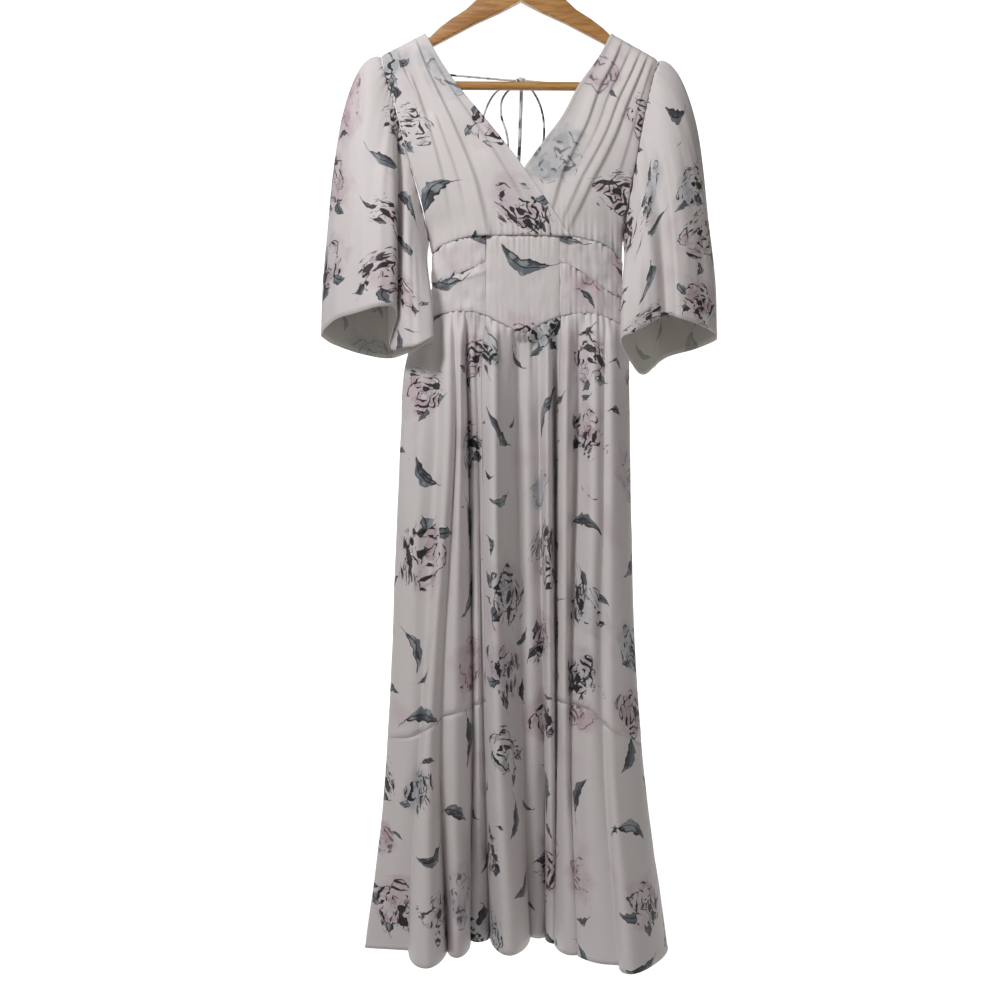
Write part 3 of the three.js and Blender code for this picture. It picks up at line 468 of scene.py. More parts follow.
def printColour(m, place):
    # each cell of the cloth holds one rose, leaf or wash, turned and sized by chance
    drift = m.shift(m.grain(place, 6.0, 1.0, 0.5, 1), (0.5, 0.5, 0.5), "SUBTRACT")
    swayed = m.node("ShaderNodeVectorMath", {"operation": "MULTIPLY_ADD"}, [drift, (0.05, 0.05, 0.0), place])
    u, v, _ = m.split(swayed)
    brush, brushToo, brushThree = m.split(m.grain(place, 44.0, 2.0, 0.5, 1))
    fray, frayToo, _ = m.split(m.grain(place, 190.0, 2.0, 0.6, 1))

    def cells(size, seed):
        column = (u / size).floor()
        lane = m.node("ShaderNodeTexWhiteNoise", {"noise_dimensions": "1D"}, {"W": column + seed})
        raised = v + lane * size
        row = (raised / size).floor()
        spot = m.join(column + seed, row)
        chance = m.node("ShaderNodeTexWhiteNoise", {"noise_dimensions": "2D"}, {"Vector": spot}, 1)
        apart = m.shift(spot, (40.0, 17.0, 0.0))
        kind = m.node("ShaderNodeTexWhiteNoise", {"noise_dimensions": "2D"}, {"Vector": apart})
        r1, r2, r3 = m.split(chance)
        x0 = u - (column + 0.5) * size - (r1 - 0.5) * printed["jitter"]
        y0 = raised - (row + 0.5) * size - (r2 - 0.5) * printed["jitter"]
        turn = r3 * (2 * math.pi)
        grow = 0.82 + r1 * 0.34
        x1 = (x0 * turn.cosine() + y0 * turn.sine()) / grow
        y1 = (y0 * turn.cosine() - x0 * turn.sine()) / grow
        x1 = x1 + (brush - 0.5) * printed["wobble"] + (fray - 0.5) * printed["fray"]
        y1 = y1 + (brushToo - 0.5) * printed["wobble"] + (frayToo - 0.5) * printed["fray"]
        return x1, y1, kind, r1, r2, r3

    x, y, kind, r1, r2, r3 = cells(printed["cell"], 3.7)
    streak = m.grain(m.join(x * 0.2 + r1, y, r3), 330.0, 2.0, 0.55)
    sweep = m.grain(m.join(x * 0.28 + r2, y, r1), 150.0, 1.0, 0.5)

    # the rose: broken petal lines, loaded brush marks and blots over a loose wash
    reach = (x * x + y * y).root()
    angle = y.math("ARCTAN2", x)
    lobes = (angle * 2.5 + r2 * 6.0).sine().size()
    edge = printed["roseRadius"] * (0.70 + lobes * 0.26 + (brushThree - 0.5) * 0.55)
    bloom = (edge - reach).soft(-0.0006, 0.0012)
    swirl = reach * printed["rings"] + angle * (1 / (2 * math.pi)) + lobes * 0.62 + (brush - 0.5) * 2.2
    load = brushToo.soft(0.38, 0.64) * 0.42
    petal = ((swirl.part() - 0.5).size() * 2.0 - 0.94 + load).soft(-0.02, 0.03)
    petal = petal * (brushThree + (fray - 0.5) * 0.12).soft(0.42, 0.45)
    rough = (edge * 1.02 - reach).size().soft(0.0017, 0.0005) * brush.soft(0.47, 0.52)
    side = (x * 0.6 + y) / printed["roseRadius"]
    strokes = sweep.soft(0.585, 0.62) * side.soft(-0.15, 0.35) * (edge * 1.35 - reach).soft(-0.001, 0.006)
    thin = streak.soft(0.60, 0.64) * (edge * 1.6 - reach).soft(-0.001, 0.01) * side.soft(0.1, 0.8)

    def blot(cx, cy, size):
        away = ((x - cx) * (x - cx) + (y - cy) * (y - cy) * 2.2).root()
        return (size + (brushThree - 0.5) * 0.016 + (sweep - 0.5) * 0.010 - away).soft(-0.0004, 0.0008)

    blots = blot(0.004, 0.006, printed["blot"]).most(blot(0.021, 0.013, printed["blot"] * (0.35 + r3)))
    roseInk = (petal * bloom + rough * 0.9 + strokes * 0.95 + thin * 0.8 + blots).least(1.0)
    stray = ((x + 0.007) * (x + 0.007) + (y + 0.005) * (y + 0.005)).root()
    wet = m.grain(place, 22.0, 3.0, 0.6)
    wash = (printed["roseRadius"] * 1.08 + (brushToo - 0.5) * 0.05 - stray).soft(-0.008, 0.012)
    wash = wash * (0.35 + wet.soft(0.36, 0.62) * 0.65)
    pool = (edge - reach).soft(0.0, 0.006) * (brushThree + (wet - 0.5) * 0.5).soft(0.52, 0.58)

    # leaves beside the rose, or one of its own
    beside = leafInk(x - 0.033, y + 0.006, 0.4, 0.015, 0.0062, brushThree, streak)
    below = leafInk(y + 0.034, x - 0.012, -0.35, 0.014, 0.0056, brush, streak)
    single = leafInk(x, y, 0.30, printed["leafLength"], printed["leafWidth"], brushThree, streak)
    isRose = kind.soft(0.52, 0.53)
    isLeaf = (1.0 - isRose) * kind.soft(0.16, 0.17)
    isWash = 1.0 - isRose - isLeaf
    spare = isRose * (1.0 - bloom)

    # a finer scatter of small leaves and stalks between them
    xs, ys, kinds, s1, s2, s3 = cells(printed["smallCell"], 21.3)
    small = leafInk(xs, ys, 0.4, 0.013, 0.0034, brushToo, streak)
    clear = (printed["cell"] * 0.36 - reach).soft(0.004, 0.0) * kinds.soft(0.50, 0.51)

    leafInside = (single[0] * isLeaf).most((beside[0].most(below[0])) * spare).most(small[0] * clear)
    leafLines = (single[1] * isLeaf).most((beside[1].most(below[1])) * spare).most(small[1] * clear)
    leafPlace = (single[2] * isLeaf + beside[2] * isRose) * 0.5 + 0.5

    tone = m.blend(printed["ground"], printed["groundWarm"], m.grain(place, 3.0, 1.0))
    cloud = m.grain(place, 8.0, 2.0, 0.5)
    tone = m.blend(tone, printed["pink"], cloud.soft(0.60, 0.72) * 0.4)
    pinkness = r2.soft(0.30, 0.60)
    washColour = m.blend(printed["grey"], printed["pink"], pinkness)
    washAmount = wash * (isRose * 0.6 * r3.soft(0.05, 0.45) + isWash * 0.75)
    tone = m.blend(tone, washColour, washAmount)
    deepColour = m.blend(printed["leafPale"], printed["pinkDeep"], pinkness)
    tone = m.blend(tone, deepColour, pool * (isRose * 0.6 + isWash * 0.45))
    leafShade = (leafPlace + (brush - 0.5) * 1.6).soft(0.40, 0.80)
    leafColour = m.blend(printed["leaf"], printed["leafDark"], leafShade)
    leafColour = m.blend(leafColour, printed["leafPale"], brushToo.soft(0.52, 0.62) * 0.85)
    tone = m.blend(tone, leafColour, leafInside * 0.95)
    washLines = rough * isWash * 0.6 + petal * bloom * brushToo.soft(0.5, 0.6) * isWash * 0.7
    return m.blend(tone, printed["ink"], (roseInk * isRose).most(leafLines).most(washLines) * 0.96)


def makeCloth(name, inside):
    m = Finish(name)
    place = m.node("ShaderNodeUVMap", {"uv_map": "cut"})
    colour = printColour(m, place)
    if inside:
        # the wrong side: the print faded to a pale warm grey, partly the cloth's own colour and partly
        # painted light, kept lighter than the shaded inside would be to stand in for light coming through the
        # thin cloth
        colour = m.blend(colour, printed["wrongSideLitThrough"], 0.58)
    u, v, _ = m.split(place)
    thread = 2 * math.pi / printed["thread"]
    weave = (u * thread).sine() * (v * thread).sine() * 0.15
    slub = m.grain(m.shift(place, (1.0, 0.12, 1.0), "MULTIPLY"), 420.0, 2.0)
    crimp = m.grain(m.shift(place, (1.0, 0.5, 1.0), "MULTIPLY"), 30.0, 2.0)
    height = weave + slub * 0.6 + crimp * 3.0
    bump = m.node("ShaderNodeBump", {}, {"Strength": 0.25, "Distance": 0.001, "Height": height})
    m.feed(Base_Color=colour, Roughness=0.50 + slub * 0.12, Normal=bump)
    m.feed(Sheen_Weight=0.15, Sheen_Roughness=0.4, Specular_IOR_Level=0.35)
    return m.material


clothOutside = makeCloth("printed cloth", False)
clothInside = makeCloth("printed cloth, wrong side", True)
print("cloth printed")


# Torso and midriff.
torsoSections = [
    {"z": -580, "right": -134, "left": 153, "front": 36, "back": 30},
    {"z": -510, "right": -130, "left": 147, "front": 35, "back": 28},
    {"z": -440, "right": -131, "left": 147, "front": 35, "back": 27},
]
seamColumns = ("x", "z")
topSeam = table(seamColumns, (
    (-131, -465), (-113, -455), (-88, -447), (-60, -444), (70, -445), (103, -450), (124, -457),
    (147, -475),
))
rightPanelSeam = table(seamColumns, (
    (-131, -511), (-101, -501), (-51, -481),
))
leftPanelSeam = table(seamColumns, (
    (54, -480), (77, -489), (106, -508), (147, -534),
))
waistSeam = table(seamColumns, (
    (-134, -557), (-101, -551), (-73, -552), (-55, -556), (-28, -570), (4, -583), (28, -571),
    (49, -562), (70, -556), (100, -554), (125, -559), (153, -572),
))
backWaistZ = {"right": -557, "left": -572}
backTopZ = {"right": -465, "left": -475}
torso = {side: through(torsoSections, "z", side) for side in ("right", "left", "front", "back")}


def torsoMiddle(z):
    return (torso["right"](z) + torso["left"](z)) / 2


def torsoHalf(z):
    return (torso["left"](z) - torso["right"](z)) / 2


def torsoY(x, z, side):
    across = min(abs((x - torsoMiddle(z)) / torsoHalf(z)), 1)
    depth = torso["front"](z) if side < 0 else torso["back"](z)
    return side * depth * (1 - across ** 2.4) ** 0.62


def torsoX(turn, z):
    return torsoMiddle(z) + torsoHalf(z) * math.sin(turn)


def turnAt(x, z):
    return math.asin((x - torsoMiddle(z)) / torsoHalf(z))


topLine = through(topSeam, "x", "z")
rightPanelLine = through(rightPanelSeam, "x", "z")
leftPanelLine = through(leftPanelSeam, "x", "z")
waistLine = through(waistSeam, "x", "z")


def backLine(ends):
    return lambda x: mix(ends["right"], ends["left"], min(max((x + 130) / 277, 0), 1))


def toFront(point):
    return Vector((0, -1, 0))


def toBack(point):
    return Vector((0, 1, 0))


midriff = {"level": -510, "right": -129.98, "left": 146.98}
midriffPanels = {
    "midriff_centre": {
        "from": -51, "to": 55, "top": topLine, "low": waistLine,
        "gathers": 0.5, "flat": (0.108, 0.142), "area": 0.0135,
    },
    "midriff_upper_right": {
        "from": midriff["right"], "to": -51, "top": topLine, "low": rightPanelLine,
        "gathers": 1.2, "flat": (0.094, 0.068), "area": 0.004,
    },
    "midriff_lower_right": {
        "from": midriff["right"], "to": -51, "top": rightPanelLine, "low": waistLine,
        "gathers": 1.3, "lip": 2.2, "flat": (0.094, 0.078), "area": 0.0054,
    },
    "midriff_upper_left": {
        "from": 55, "to": midriff["left"], "top": topLine, "low": leftPanelLine,
        "gathers": 1.2, "flat": (0.105, 0.092), "area": 0.0052,
    },
    "midriff_lower_left": {
        "from": 55, "to": midriff["left"], "top": leftPanelLine, "low": waistLine,
        "gathers": 1.3, "flat": (0.105, 0.09), "area": 0.0058,
    },
}


def makeMidriff():
    level = midriff["level"]
    sides = dict.fromkeys(("u0", "u1", "v0", "v1"), "seam")
    for order, (name, panel) in enumerate(midriffPanels.items(), 1):

        def surface(turn, down):
            x = torsoX(turn, level)
            z = mix(panel["top"](x), panel["low"](x), down)
            return x, torsoY(x, z, -1), z

        def crease(turn, down, point):
            # short gathers drawn up along the slanted seams, and slack across the panel
            near = math.exp(-down * 6) + 0.7 * math.exp(-(1 - down) * 7)
            slack = 1.9 * noise.noise(Vector((point.x / 20, point.z / 20, order)))
            slack += 0.9 * noise.noise(Vector((point.x / 8, point.z / 22, order + 4)))
            lip = panel.get("lip", 0) * math.exp(-((down - 0.17) / 0.055) ** 2)
            return panel["gathers"] * (near * ripple(point.x, order, 7.5) * 2.3 + slack) + lip

        turns = steps(turnAt(panel["from"], level), turnAt(panel["to"], level), 90)
        piece = makeSheet(name + "_cloth", surface, turns, steps(0, 1, 34), toFront, crease, sides,
                          uvShift=(order * 61, 300))
        finishSheet(piece, name)

    def backSurface(turn, down):
        x = torsoX(turn, level)
        z = mix(backLine(backTopZ)(x), backLine(backWaistZ)(x), down)
        return x, torsoY(x, z, 1), z

    def backCrease(turn, down, point):
        slack = 1.2 * noise.noise(Vector((point.x / 40, point.z / 14, 5.0)))
        return slack + 0.5 * ripple(point.x, 8.0, 9.0) * math.exp(-(1 - down) * 4)

    turns = steps(turnAt(midriff["left"], level), turnAt(midriff["right"], level), 150)
    piece = makeSheet("midriff_back_cloth", backSurface, turns, steps(0, 1, 30), toBack, backCrease, sides,
                      uvShift=(700, 210))
    finishSheet(piece, "midriff_back")


makeMidriff()
print("midriff made")

# Bodice: neck and armhole edges from the shoulder (down 0) to the midriff (down 1).
edgeColumns = ("down", "x", "z")
rightNeckEdge = table(edgeColumns, (
    (0, -139, -145), (0.15, -113, -192), (0.28, -85, -232), (0.41, -55, -269), (0.53, -28, -303),
    (0.66, 1, -342), (0.87, 44, -405), (1, 71, -445),
))
leftNeckEdge = table(edgeColumns, (
    (0, 131, -145), (0.13, 111, -183), (0.26, 83, -223), (0.42, 59, -269), (0.55, 31, -308),
    (0.67, 4, -346), (0.85, -25, -400), (1, -48, -445),
))
rightArmEdge = table(edgeColumns, (
    (0, -203, -178), (0.13, -194, -215), (0.24, -183, -247), (0.46, -167, -311), (0.6, -156, -350),
    (0.73, -145, -388), (0.94, -133, -448), (1, -131, -465),
))
leftArmEdge = table(edgeColumns, (
    (0, 199, -184), (0.1, 190, -212), (0.23, 181, -250), (0.46, 168, -318), (0.65, 158, -374),
    (0.8, 151, -418), (0.92, 148, -448), (1, 147, -475),
))
rightBackEdge = table(edgeColumns, (
    (0, -139, -145), (0.18, -122, -200), (0.34, -92, -250), (0.52, -58, -308), (0.7, -24, -365),
    (0.82, 0, -405), (1, 8, -468),
))
leftBackEdge = table(edgeColumns, (
    (0, 131, -145), (0.17, 119, -195), (0.33, 93, -245), (0.52, 66, -302), (0.7, 36, -360),
    (0.82, 14, -405), (1, 8, -470),
))
bodiceDepth = [
    {"z": -470, "front": 35, "frontArm": 0, "back": 27, "backArm": 0},
    {"z": -448, "front": 35, "frontArm": 3, "back": 26, "backArm": 3},
    {"z": -400, "front": 35, "frontArm": 12, "back": 23, "backArm": 11},
    {"z": -350, "front": 31, "frontArm": 18, "back": 20, "backArm": 15},
    {"z": -300, "front": 26, "frontArm": 18, "back": 18, "backArm": 16},
    {"z": -250, "front": 21, "frontArm": 13, "back": 16, "backArm": 14},
    {"z": -200, "front": 14, "frontArm": 9.5, "back": 12, "backArm": 10},
    {"z": -140, "front": 9, "frontArm": 9, "back": 9, "backArm": 9},
]
bodice = {"lapDepth": 1.9, "shoulderRadius": 9, "columns": 110, "rows": 110}
# Pleats: place across (0 neck, 1 armhole) at the shoulder and at the midriff, height of the fold,
# and the stretch that it runs over. The steep sides all face the wearer's left.
pleatColumns = ("top", "low", "lift", "from", "to")
rightPleats = table(pleatColumns, (
    (0.10, 0.24, 2.6, 0.1, 1.1), (0.25, 0.60, 5.0, 0.0, 1.2), (0.42, 0.75, 3.6, 0.35, 1.1),
    (0.55, 0.88, 4.2, 0.15, 1.0), (0.67, 0.70, 3.4, 0.0, 0.45),
))
leftPleats = table(pleatColumns, (
    (0.23, 0.40, 4.0, 0.0, 1.15), (0.42, 0.44, 2.2, 0.0, 0.75), (0.61, 0.48, 3.8, 0.0, 1.1),
    (0.77, 0.56, 4.4, 0.0, 1.15), (0.90, 0.80, 2.4, 0.0, 0.9),
))
rightArmX = through(rightArmEdge, "z", "x")
leftArmX = through(leftArmEdge, "z", "x")
depthOf = {column: through(bodiceDepth, "z", column) for column in ("front", "frontArm", "back", "backArm")}


def bodiceY(x, z, side):
    middle = (rightArmX(z) + leftArmX(z)) / 2
    half = (leftArmX(z) - rightArmX(z)) / 2
    across = min(abs(x - middle) / half, 1)
    centre = depthOf["front" if side < 0 else "back"](z)
    arm = depthOf["frontArm" if side < 0 else "backArm"](z)
    return side * mix(arm, centre, 1 - across ** 2.4)


def bodiceSurface(neckRows, armRows, side, bottom, lift):
    neckX, neckZ = through(neckRows, "down", "x"), through(neckRows, "down", "z")
    armXAt, armZ = through(armRows, "down", "x"), through(armRows, "down", "z")

    def surface(a, d):
        x = mix(neckX(d), armXAt(d), a)
        straight = mix(neckZ(d), armZ(d), a)
        arch = (bottom(mix(neckX(1), armXAt(1), a)) - mix(neckZ(1), armZ(1), a)) * d ** 3
        z = straight + arch
        below = max(mix(neckZ(0), armZ(0), a) - straight, 0)
        overArm = math.sqrt(1 - (1 - min(below / bodice["shoulderRadius"], 1)) ** 2)
        y = mix(bodiceY(x, z, side), torsoY(x, z, side), smooth(0.8, 1, d)) * overArm
        return x, y + side * lift(x, d), z
    return surface


def pleated(pleats, seed, steep):
    def crease(a, d, point):
        total = 0.0
        for order, pleat in enumerate(pleats):
            sway = 0.012 * noise.noise(Vector((d * 3, order, seed)))
            away = steep * (a - mix(pleat["top"], pleat["low"], d) - sway)
            shape = math.exp(-(away / (0.095 if away < 0 else 0.024)) ** 2)
            starts = smooth(pleat["from"] - 0.03, pleat["from"] + 0.05, d)
            ends = smooth(pleat["to"] - 0.4, pleat["to"], d)
            total += pleat["lift"] * starts * (1 - ends) * shape
        reach = 0.06 + 0.05 * noise.noise(Vector((point.x / 14, seed, 2.0)))
        gather = ripple(point.x, seed, 8.0) * math.exp(-((1 - d) / reach)) * 3.2
        long = ripple(point.x + point.z * 0.25, seed + 3, 24.0) * math.exp(-((1 - d) / 0.24)) * 1.8
        slack = 2.6 * noise.noise(Vector((point.x / 55, point.z / 95, seed)))
        away = smooth(0.0, 0.1, d)
        return (total + slack * smooth(0, 0.2, min(a, 1 - a) * 2)) * (0.25 + 0.75 * away) + gather + long
    return crease


def overLift(x, d):
    return bodice["lapDepth"] * smooth(-95, -62, x) * smooth(0.5, 0.66, d)


def underLift(x, d):
    return -bodice["lapDepth"] * (1 - smooth(80, 112, x)) * smooth(0.5, 0.66, d)


def backCrease(a, d, point):
    slack = 2.0 * noise.noise(Vector((point.x / 70, point.z / 120, 4.0))) * smooth(0, 0.15, d)
    return slack + 0.8 * ripple(point.x, 6.0, 9.0) * math.exp(-((1 - d) / 0.08))


def overShoulder(side):
    # out of the cloth: up at the shoulder seam, and to the front or back below it
    return lambda point: Vector((0, side, 0.6 if point.z > -200 else 0))


def makeBodice():
    downs = closer(bodice["rows"], 1.35)
    acrossPlaces = steps(0, 1, bodice["columns"])
    edges = {"u0": "hem", "u1": "seam", "v0": "seam", "v1": "seam"}
    noLift = lambda x, d: 0
    backBottom = backLine(backTopZ)
    plan = [
        ("front_bodice_right", rightNeckEdge, rightArmEdge, -1, topLine, overLift,
         pleated(rightPleats, 2.0, -1), (0.24, 0.42), 0.046, (0, 0)),
        ("front_bodice_left", leftNeckEdge, leftArmEdge, -1, topLine, underLift,
         pleated(leftPleats, 7.0, 1), (0.24, 0.42), 0.046, (430, 60)),
        ("back_bodice_right", rightBackEdge, rightArmEdge, 1, backBottom, noLift,
         backCrease, (0.17, 0.35), 0.033, (140, 900)),
        ("back_bodice_left", leftBackEdge, leftArmEdge, 1, backBottom, noLift,
         backCrease, (0.17, 0.35), 0.033, (520, 940)),
    ]
    for name, neck, arm, side, bottom, lift, crease, flat, area, uvShift in plan:
        surface = bodiceSurface(neck, arm, side, bottom, lift)
        piece = makeSheet(name + "_cloth", surface, acrossPlaces, downs, overShoulder(side), crease, edges,
                          uvShift=uvShift)
        finishSheet(piece, name)


makeBodice()
print("bodice made")

# Sleeves: each strip falls from the armhole over the cap to the hem.
sleeveColumns = ("side", "armZ", "xCap", "yCap", "zCap", "xHem", "yHem", "zHem")
rightSleeve = table(sleeveColumns, (
    (-1, -448, -140, -30, -492, -125, -62, -592), (-1, -412, -152, -46, -468, -142, -74, -603),
    (-1, -356, -168, -44, -430, -163, -68, -607), (-1, -296, -187, -22, -380, -188, -30, -603),
    (-1, -258, -178, -38, -350, -175, -62, -556), (-1, -240, -188, -46, -320, -196, -78, -551),
    (-1, -222, -212, -40, -280, -226, -70, -557), (-1, -200, -240, -24, -215, -262, -44, -564),
    (-1, -178, -256, 0, -170, -288, -3, -580), (1, -202, -246, 22, -215, -284, 16, -588),
    (1, -240, -222, 32, -275, -264, 31, -597), (1, -296, -198, 34, -370, -230, 37, -607),
    (1, -356, -178, 26, -430, -194, 18, -614), (1, -412, -164, 8, -470, -160, -28, -610),
))
leftSleeve = table(sleeveColumns, (
    (-1, -448, 152, -30, -492, 141, -62, -598), (-1, -412, 162, -46, -468, 160, -74, -586),
    (-1, -350, 176, -46, -430, 184, -68, -571), (-1, -290, 190, -30, -370, 206, -48, -559),
    (-1, -254, 206, -42, -320, 223, -66, -566), (-1, -226, 222, -36, -268, 254, -50, -574),
    (-1, -204, 236, -20, -222, 275, -26, -582), (-1, -184, 246, 0, -180, 285, 2, -587),
    (1, -206, 240, 22, -222, 276, 20, -592), (1, -246, 220, 32, -280, 254, 32, -600),
    (1, -300, 202, 34, -370, 218, 36, -610), (1, -360, 188, 24, -430, 194, 16, -628),
    (1, -412, 176, 6, -470, 170, -26, -640),
))
sleeves = {"armholeStand": 0.5, "perStrip": 12, "rows": 90}


def sleeveSurface(rows, armX):
    tracks = {}
    strips = []
    for order, row in enumerate(rows):
        x = armX(row["armZ"])
        depth = depthOf["frontArm" if row["side"] < 0 else "backArm"](row["armZ"])
        y = 0 if order == 0 or row["armZ"] > -190 else row["side"] * depth
        arm = (x + math.copysign(sleeves["armholeStand"], x), y, row["armZ"])
        hem = (row["xHem"], row["yHem"], row["zHem"])
        fall = (mix(hem[0], arm[0], 0.12), mix(hem[1], arm[1], 0.35), mix(hem[2], arm[2], 0.62))
        strips.append((arm, (row["xCap"], row["yCap"], row["zCap"]), fall, hem))
    for part in range(4):
        for axis in range(3):
            tracks[part, axis] = ring([strip[part][axis] for strip in strips])

    def surface(strip, t):
        w = ((1 - t) ** 3, 3 * t * (1 - t) ** 2, 3 * t * t * (1 - t), t ** 3)
        return tuple(sum(w[part] * tracks[part, axis](strip) for part in range(4)) for axis in range(3))
    return surface


def sleeveCrease(count, seed):
    def crease(strip, t, point):
        turn = 2 * math.pi * strip / count
        place = Vector((math.cos(turn) * 2.2, math.sin(turn) * 2.2, point.z / 260 + seed))
        fall = 4.0 * noise.noise(place) + 2.0 * noise.noise(place * 2.3)
        cap = 0.9 * math.sin(strip * 14) * math.exp(-t / 0.05)
        return fall * smooth(0.05, 0.5, t) + cap
    return crease


def makeSleeves():
    plan = [
        ("sleeve_right", rightSleeve, rightArmX, -215, (250, 200)),
        ("sleeve_left", leftSleeve, leftArmX, 222, (880, 520)),
    ]
    for name, rows, armX, centreX, uvShift in plan:
        count = len(rows)

        def fromArm(point, centreX=centreX):
            return Vector((point.x - centreX, point.y + 12, 0))

        strips = steps(0, count, count * sleeves["perStrip"])
        piece = makeSheet(name + "_cloth", sleeveSurface(rows, armX), strips, closer(sleeves["rows"], 1.15),
                          fromArm, sleeveCrease(count, armX(-300)), {"v0": "seam", "v1": "hem"},
                          closed=True, uvShift=uvShift)
        finishSheet(piece, name)


makeSleeves()
print("sleeves made")

# Skirt: folds are counted round from the right side seam, crests and troughs in turn.
skirtSeams = {"rightSide": 0, "rightSeam": 8.3, "leftSeam": 14.5, "leftSide": 20, "backSeam": 25, "round": 30}
skirtLevels = {"High": -597, "Hip": -749, "Knee": -1162, "Hem": -1475}
foldColumns = ("xWaist", "xHigh", "xHip", "xKnee", "xHem", "yHigh", "yHip", "yKnee", "yHem")
skirtFolds = table(foldColumns, (
    (-134, -162, -174, -191, -226, 0, 0, 0, 22),
    (-122, -139, -147, -164, -190, -30, -46, -45, 5),
    (-112, -119, -121, -144, -161, -28, -42, -46, -5),
    (-102, -103, -104, -130, -133, -40, -60, -66, -80),
    (-93, -94, -94, -116, -107, -35, -46, -38, 5),
    (-84, -86, -85, -93, -90, -40, -56, -50, -34),
    (-75, -79, -76, -70, -77, -18, -12, -5, 58),
    (-66, -70, -68, -62, -62, -26, -24, -22, 42),
    (-56, -61, -60, -54, -45, -24, -18, -8, 60),
    (-35, -39, -37, -32, -16, -48, -58, -54, -25),
    (-9, -8, -9, -1, 14, -22, -4, 4, 66),
    (7, 10, 10, 17, 29, -26, -14, -4, 58),
    (23, 25, 27, 34, 40, -22, 0, 8, 74),
    (36, 37, 37, 41, 46, -38, -38, -32, 32),
    (49, 49, 50, 51, 52, -20, 4, 4, 54),
    (65, 64, 62, 60, 64, -42, -44, -42, -15),
    (83, 82, 78, 70, 82, -26, -16, -28, -22),
    (104, 104, 99, 96, 116, -42, -58, -58, -62),
    (121, 119, 117, 116, 135, -32, -48, -54, -72),
    (131, 130, 131, 135, 158, -34, -50, -60, -102),
    (153, 154, 157, 173, 214, 0, 0, 0, 26),
    (131, 136, 140, 150, 176, 28, 38, 60, 100),
    (100, 104, 107, 112, 128, 26, 26, 38, 66),
    (70, 74, 76, 82, 92, 38, 48, 78, 128),
    (40, 41, 42, 44, 46, 28, 30, 52, 98),
    (8, 8, 6, 4, 2, 38, 50, 86, 134),
    (-26, -26, -28, -30, -32, 28, 30, 54, 98),
    (-58, -60, -62, -68, -72, 38, 48, 80, 128),
    (-88, -92, -97, -106, -114, 26, 28, 40, 84),
    (-122, -126, -138, -154, -178, 28, 36, 56, 98),
))
rightFlounceSeam = table(("fold", "z"), (
    (0, -1166), (2, -1152), (5, -1124), (8, -1112),
))
leftFlounceSeam = table(("fold", "z"), (
    (14, -1108), (17, -1117), (18, -1136), (19, -1151), (20, -1177),
))
foldAt = {column: ring([row[column] for row in skirtFolds]) for column in foldColumns}
foldColumn = {}
roundness = {"High": 0.5, "Hip": 1.5, "Knee": 2.5, "Hem": 7.0}


def skirtTop(fold):
    x = foldAt["xWaist"](fold)
    behind = skirtSeams["leftSide"] < fold < skirtSeams["round"]
    z = backLine(backWaistZ)(x) if behind else waistLine(x)
    return x, torsoY(x, z, 1 if behind else -1), z


def skirtCurves(fold):
    # the lines that one place round the skirt falls along, kept so that each is worked out once
    if fold not in foldColumn:
        x, y, z = skirtTop(fold)
        rows = [{"z": z, "x": x, "y": y}]
        for level, height in skirtLevels.items():
            # crests spread and troughs close up towards the hem
            spread = -roundness[level] * math.sin(math.pi * fold)
            across = foldAt["x" + level](fold) + spread
            rows.append({"z": height, "x": across, "y": foldAt["y" + level](fold)})
        foldColumn[fold] = (through(rows, "z", "x"), through(rows, "z", "y"), z)
    return foldColumn[fold]


# Short creases in the skirt: where each starts, how far it runs down and across, width and height.
skirtCreases = [
    {"x": -150, "z": -640, "run": 190, "lean": -14, "width": 9, "lift": -3.0},
    {"x": -132, "z": -820, "run": 260, "lean": -22, "width": 11, "lift": -3.0},
    {"x": -28, "z": -700, "run": 330, "lean": 4, "width": 8, "lift": -2.4},
    {"x": 94, "z": -640, "run": 240, "lean": -8, "width": 10, "lift": -2.6},
    {"x": 112, "z": -860, "run": 280, "lean": 10, "width": 14, "lift": -3.2},
    {"x": 140, "z": -1180, "run": 240, "lean": 30, "width": 15, "lift": -4.0},
    {"x": 96, "z": -1220, "run": 230, "lean": 12, "width": 12, "lift": 3.0},
    {"x": -178, "z": -1160, "run": 260, "lean": -30, "width": 13, "lift": -4.0},
    {"x": -150, "z": -1230, "run": 220, "lean": -8, "width": 11, "lift": 3.0},
]


def skirtCrease(seed, front):
    def crease(fold, part, point):
        depth = skirtCurves(fold)[2] - point.z
        total = ripple(point.x, seed, 9.5) * 3.4 * math.exp(-depth / 34)
        total += ripple(point.x + 3, seed + 5, 19.0) * 3.9 * smooth(0, 25, depth) * math.exp(-depth / 130)
        total += 3.0 * noise.noise(Vector((point.x / 38, point.z / 420, seed))) * smooth(20, 120, depth)
        total += 0.9 * noise.noise(Vector((point.x / 26, point.z / 70, seed + 3)))
        for mark in skirtCreases if front else ():
            along = (mark["z"] - point.z) / mark["run"]
            if 0 < along < 1:
                away = (point.x - mark["x"] - mark["lean"] * along) / mark["width"]
                total += mark["lift"] * math.sin(math.pi * along) ** 0.8 * math.exp(-away * away)
        return total
    return crease


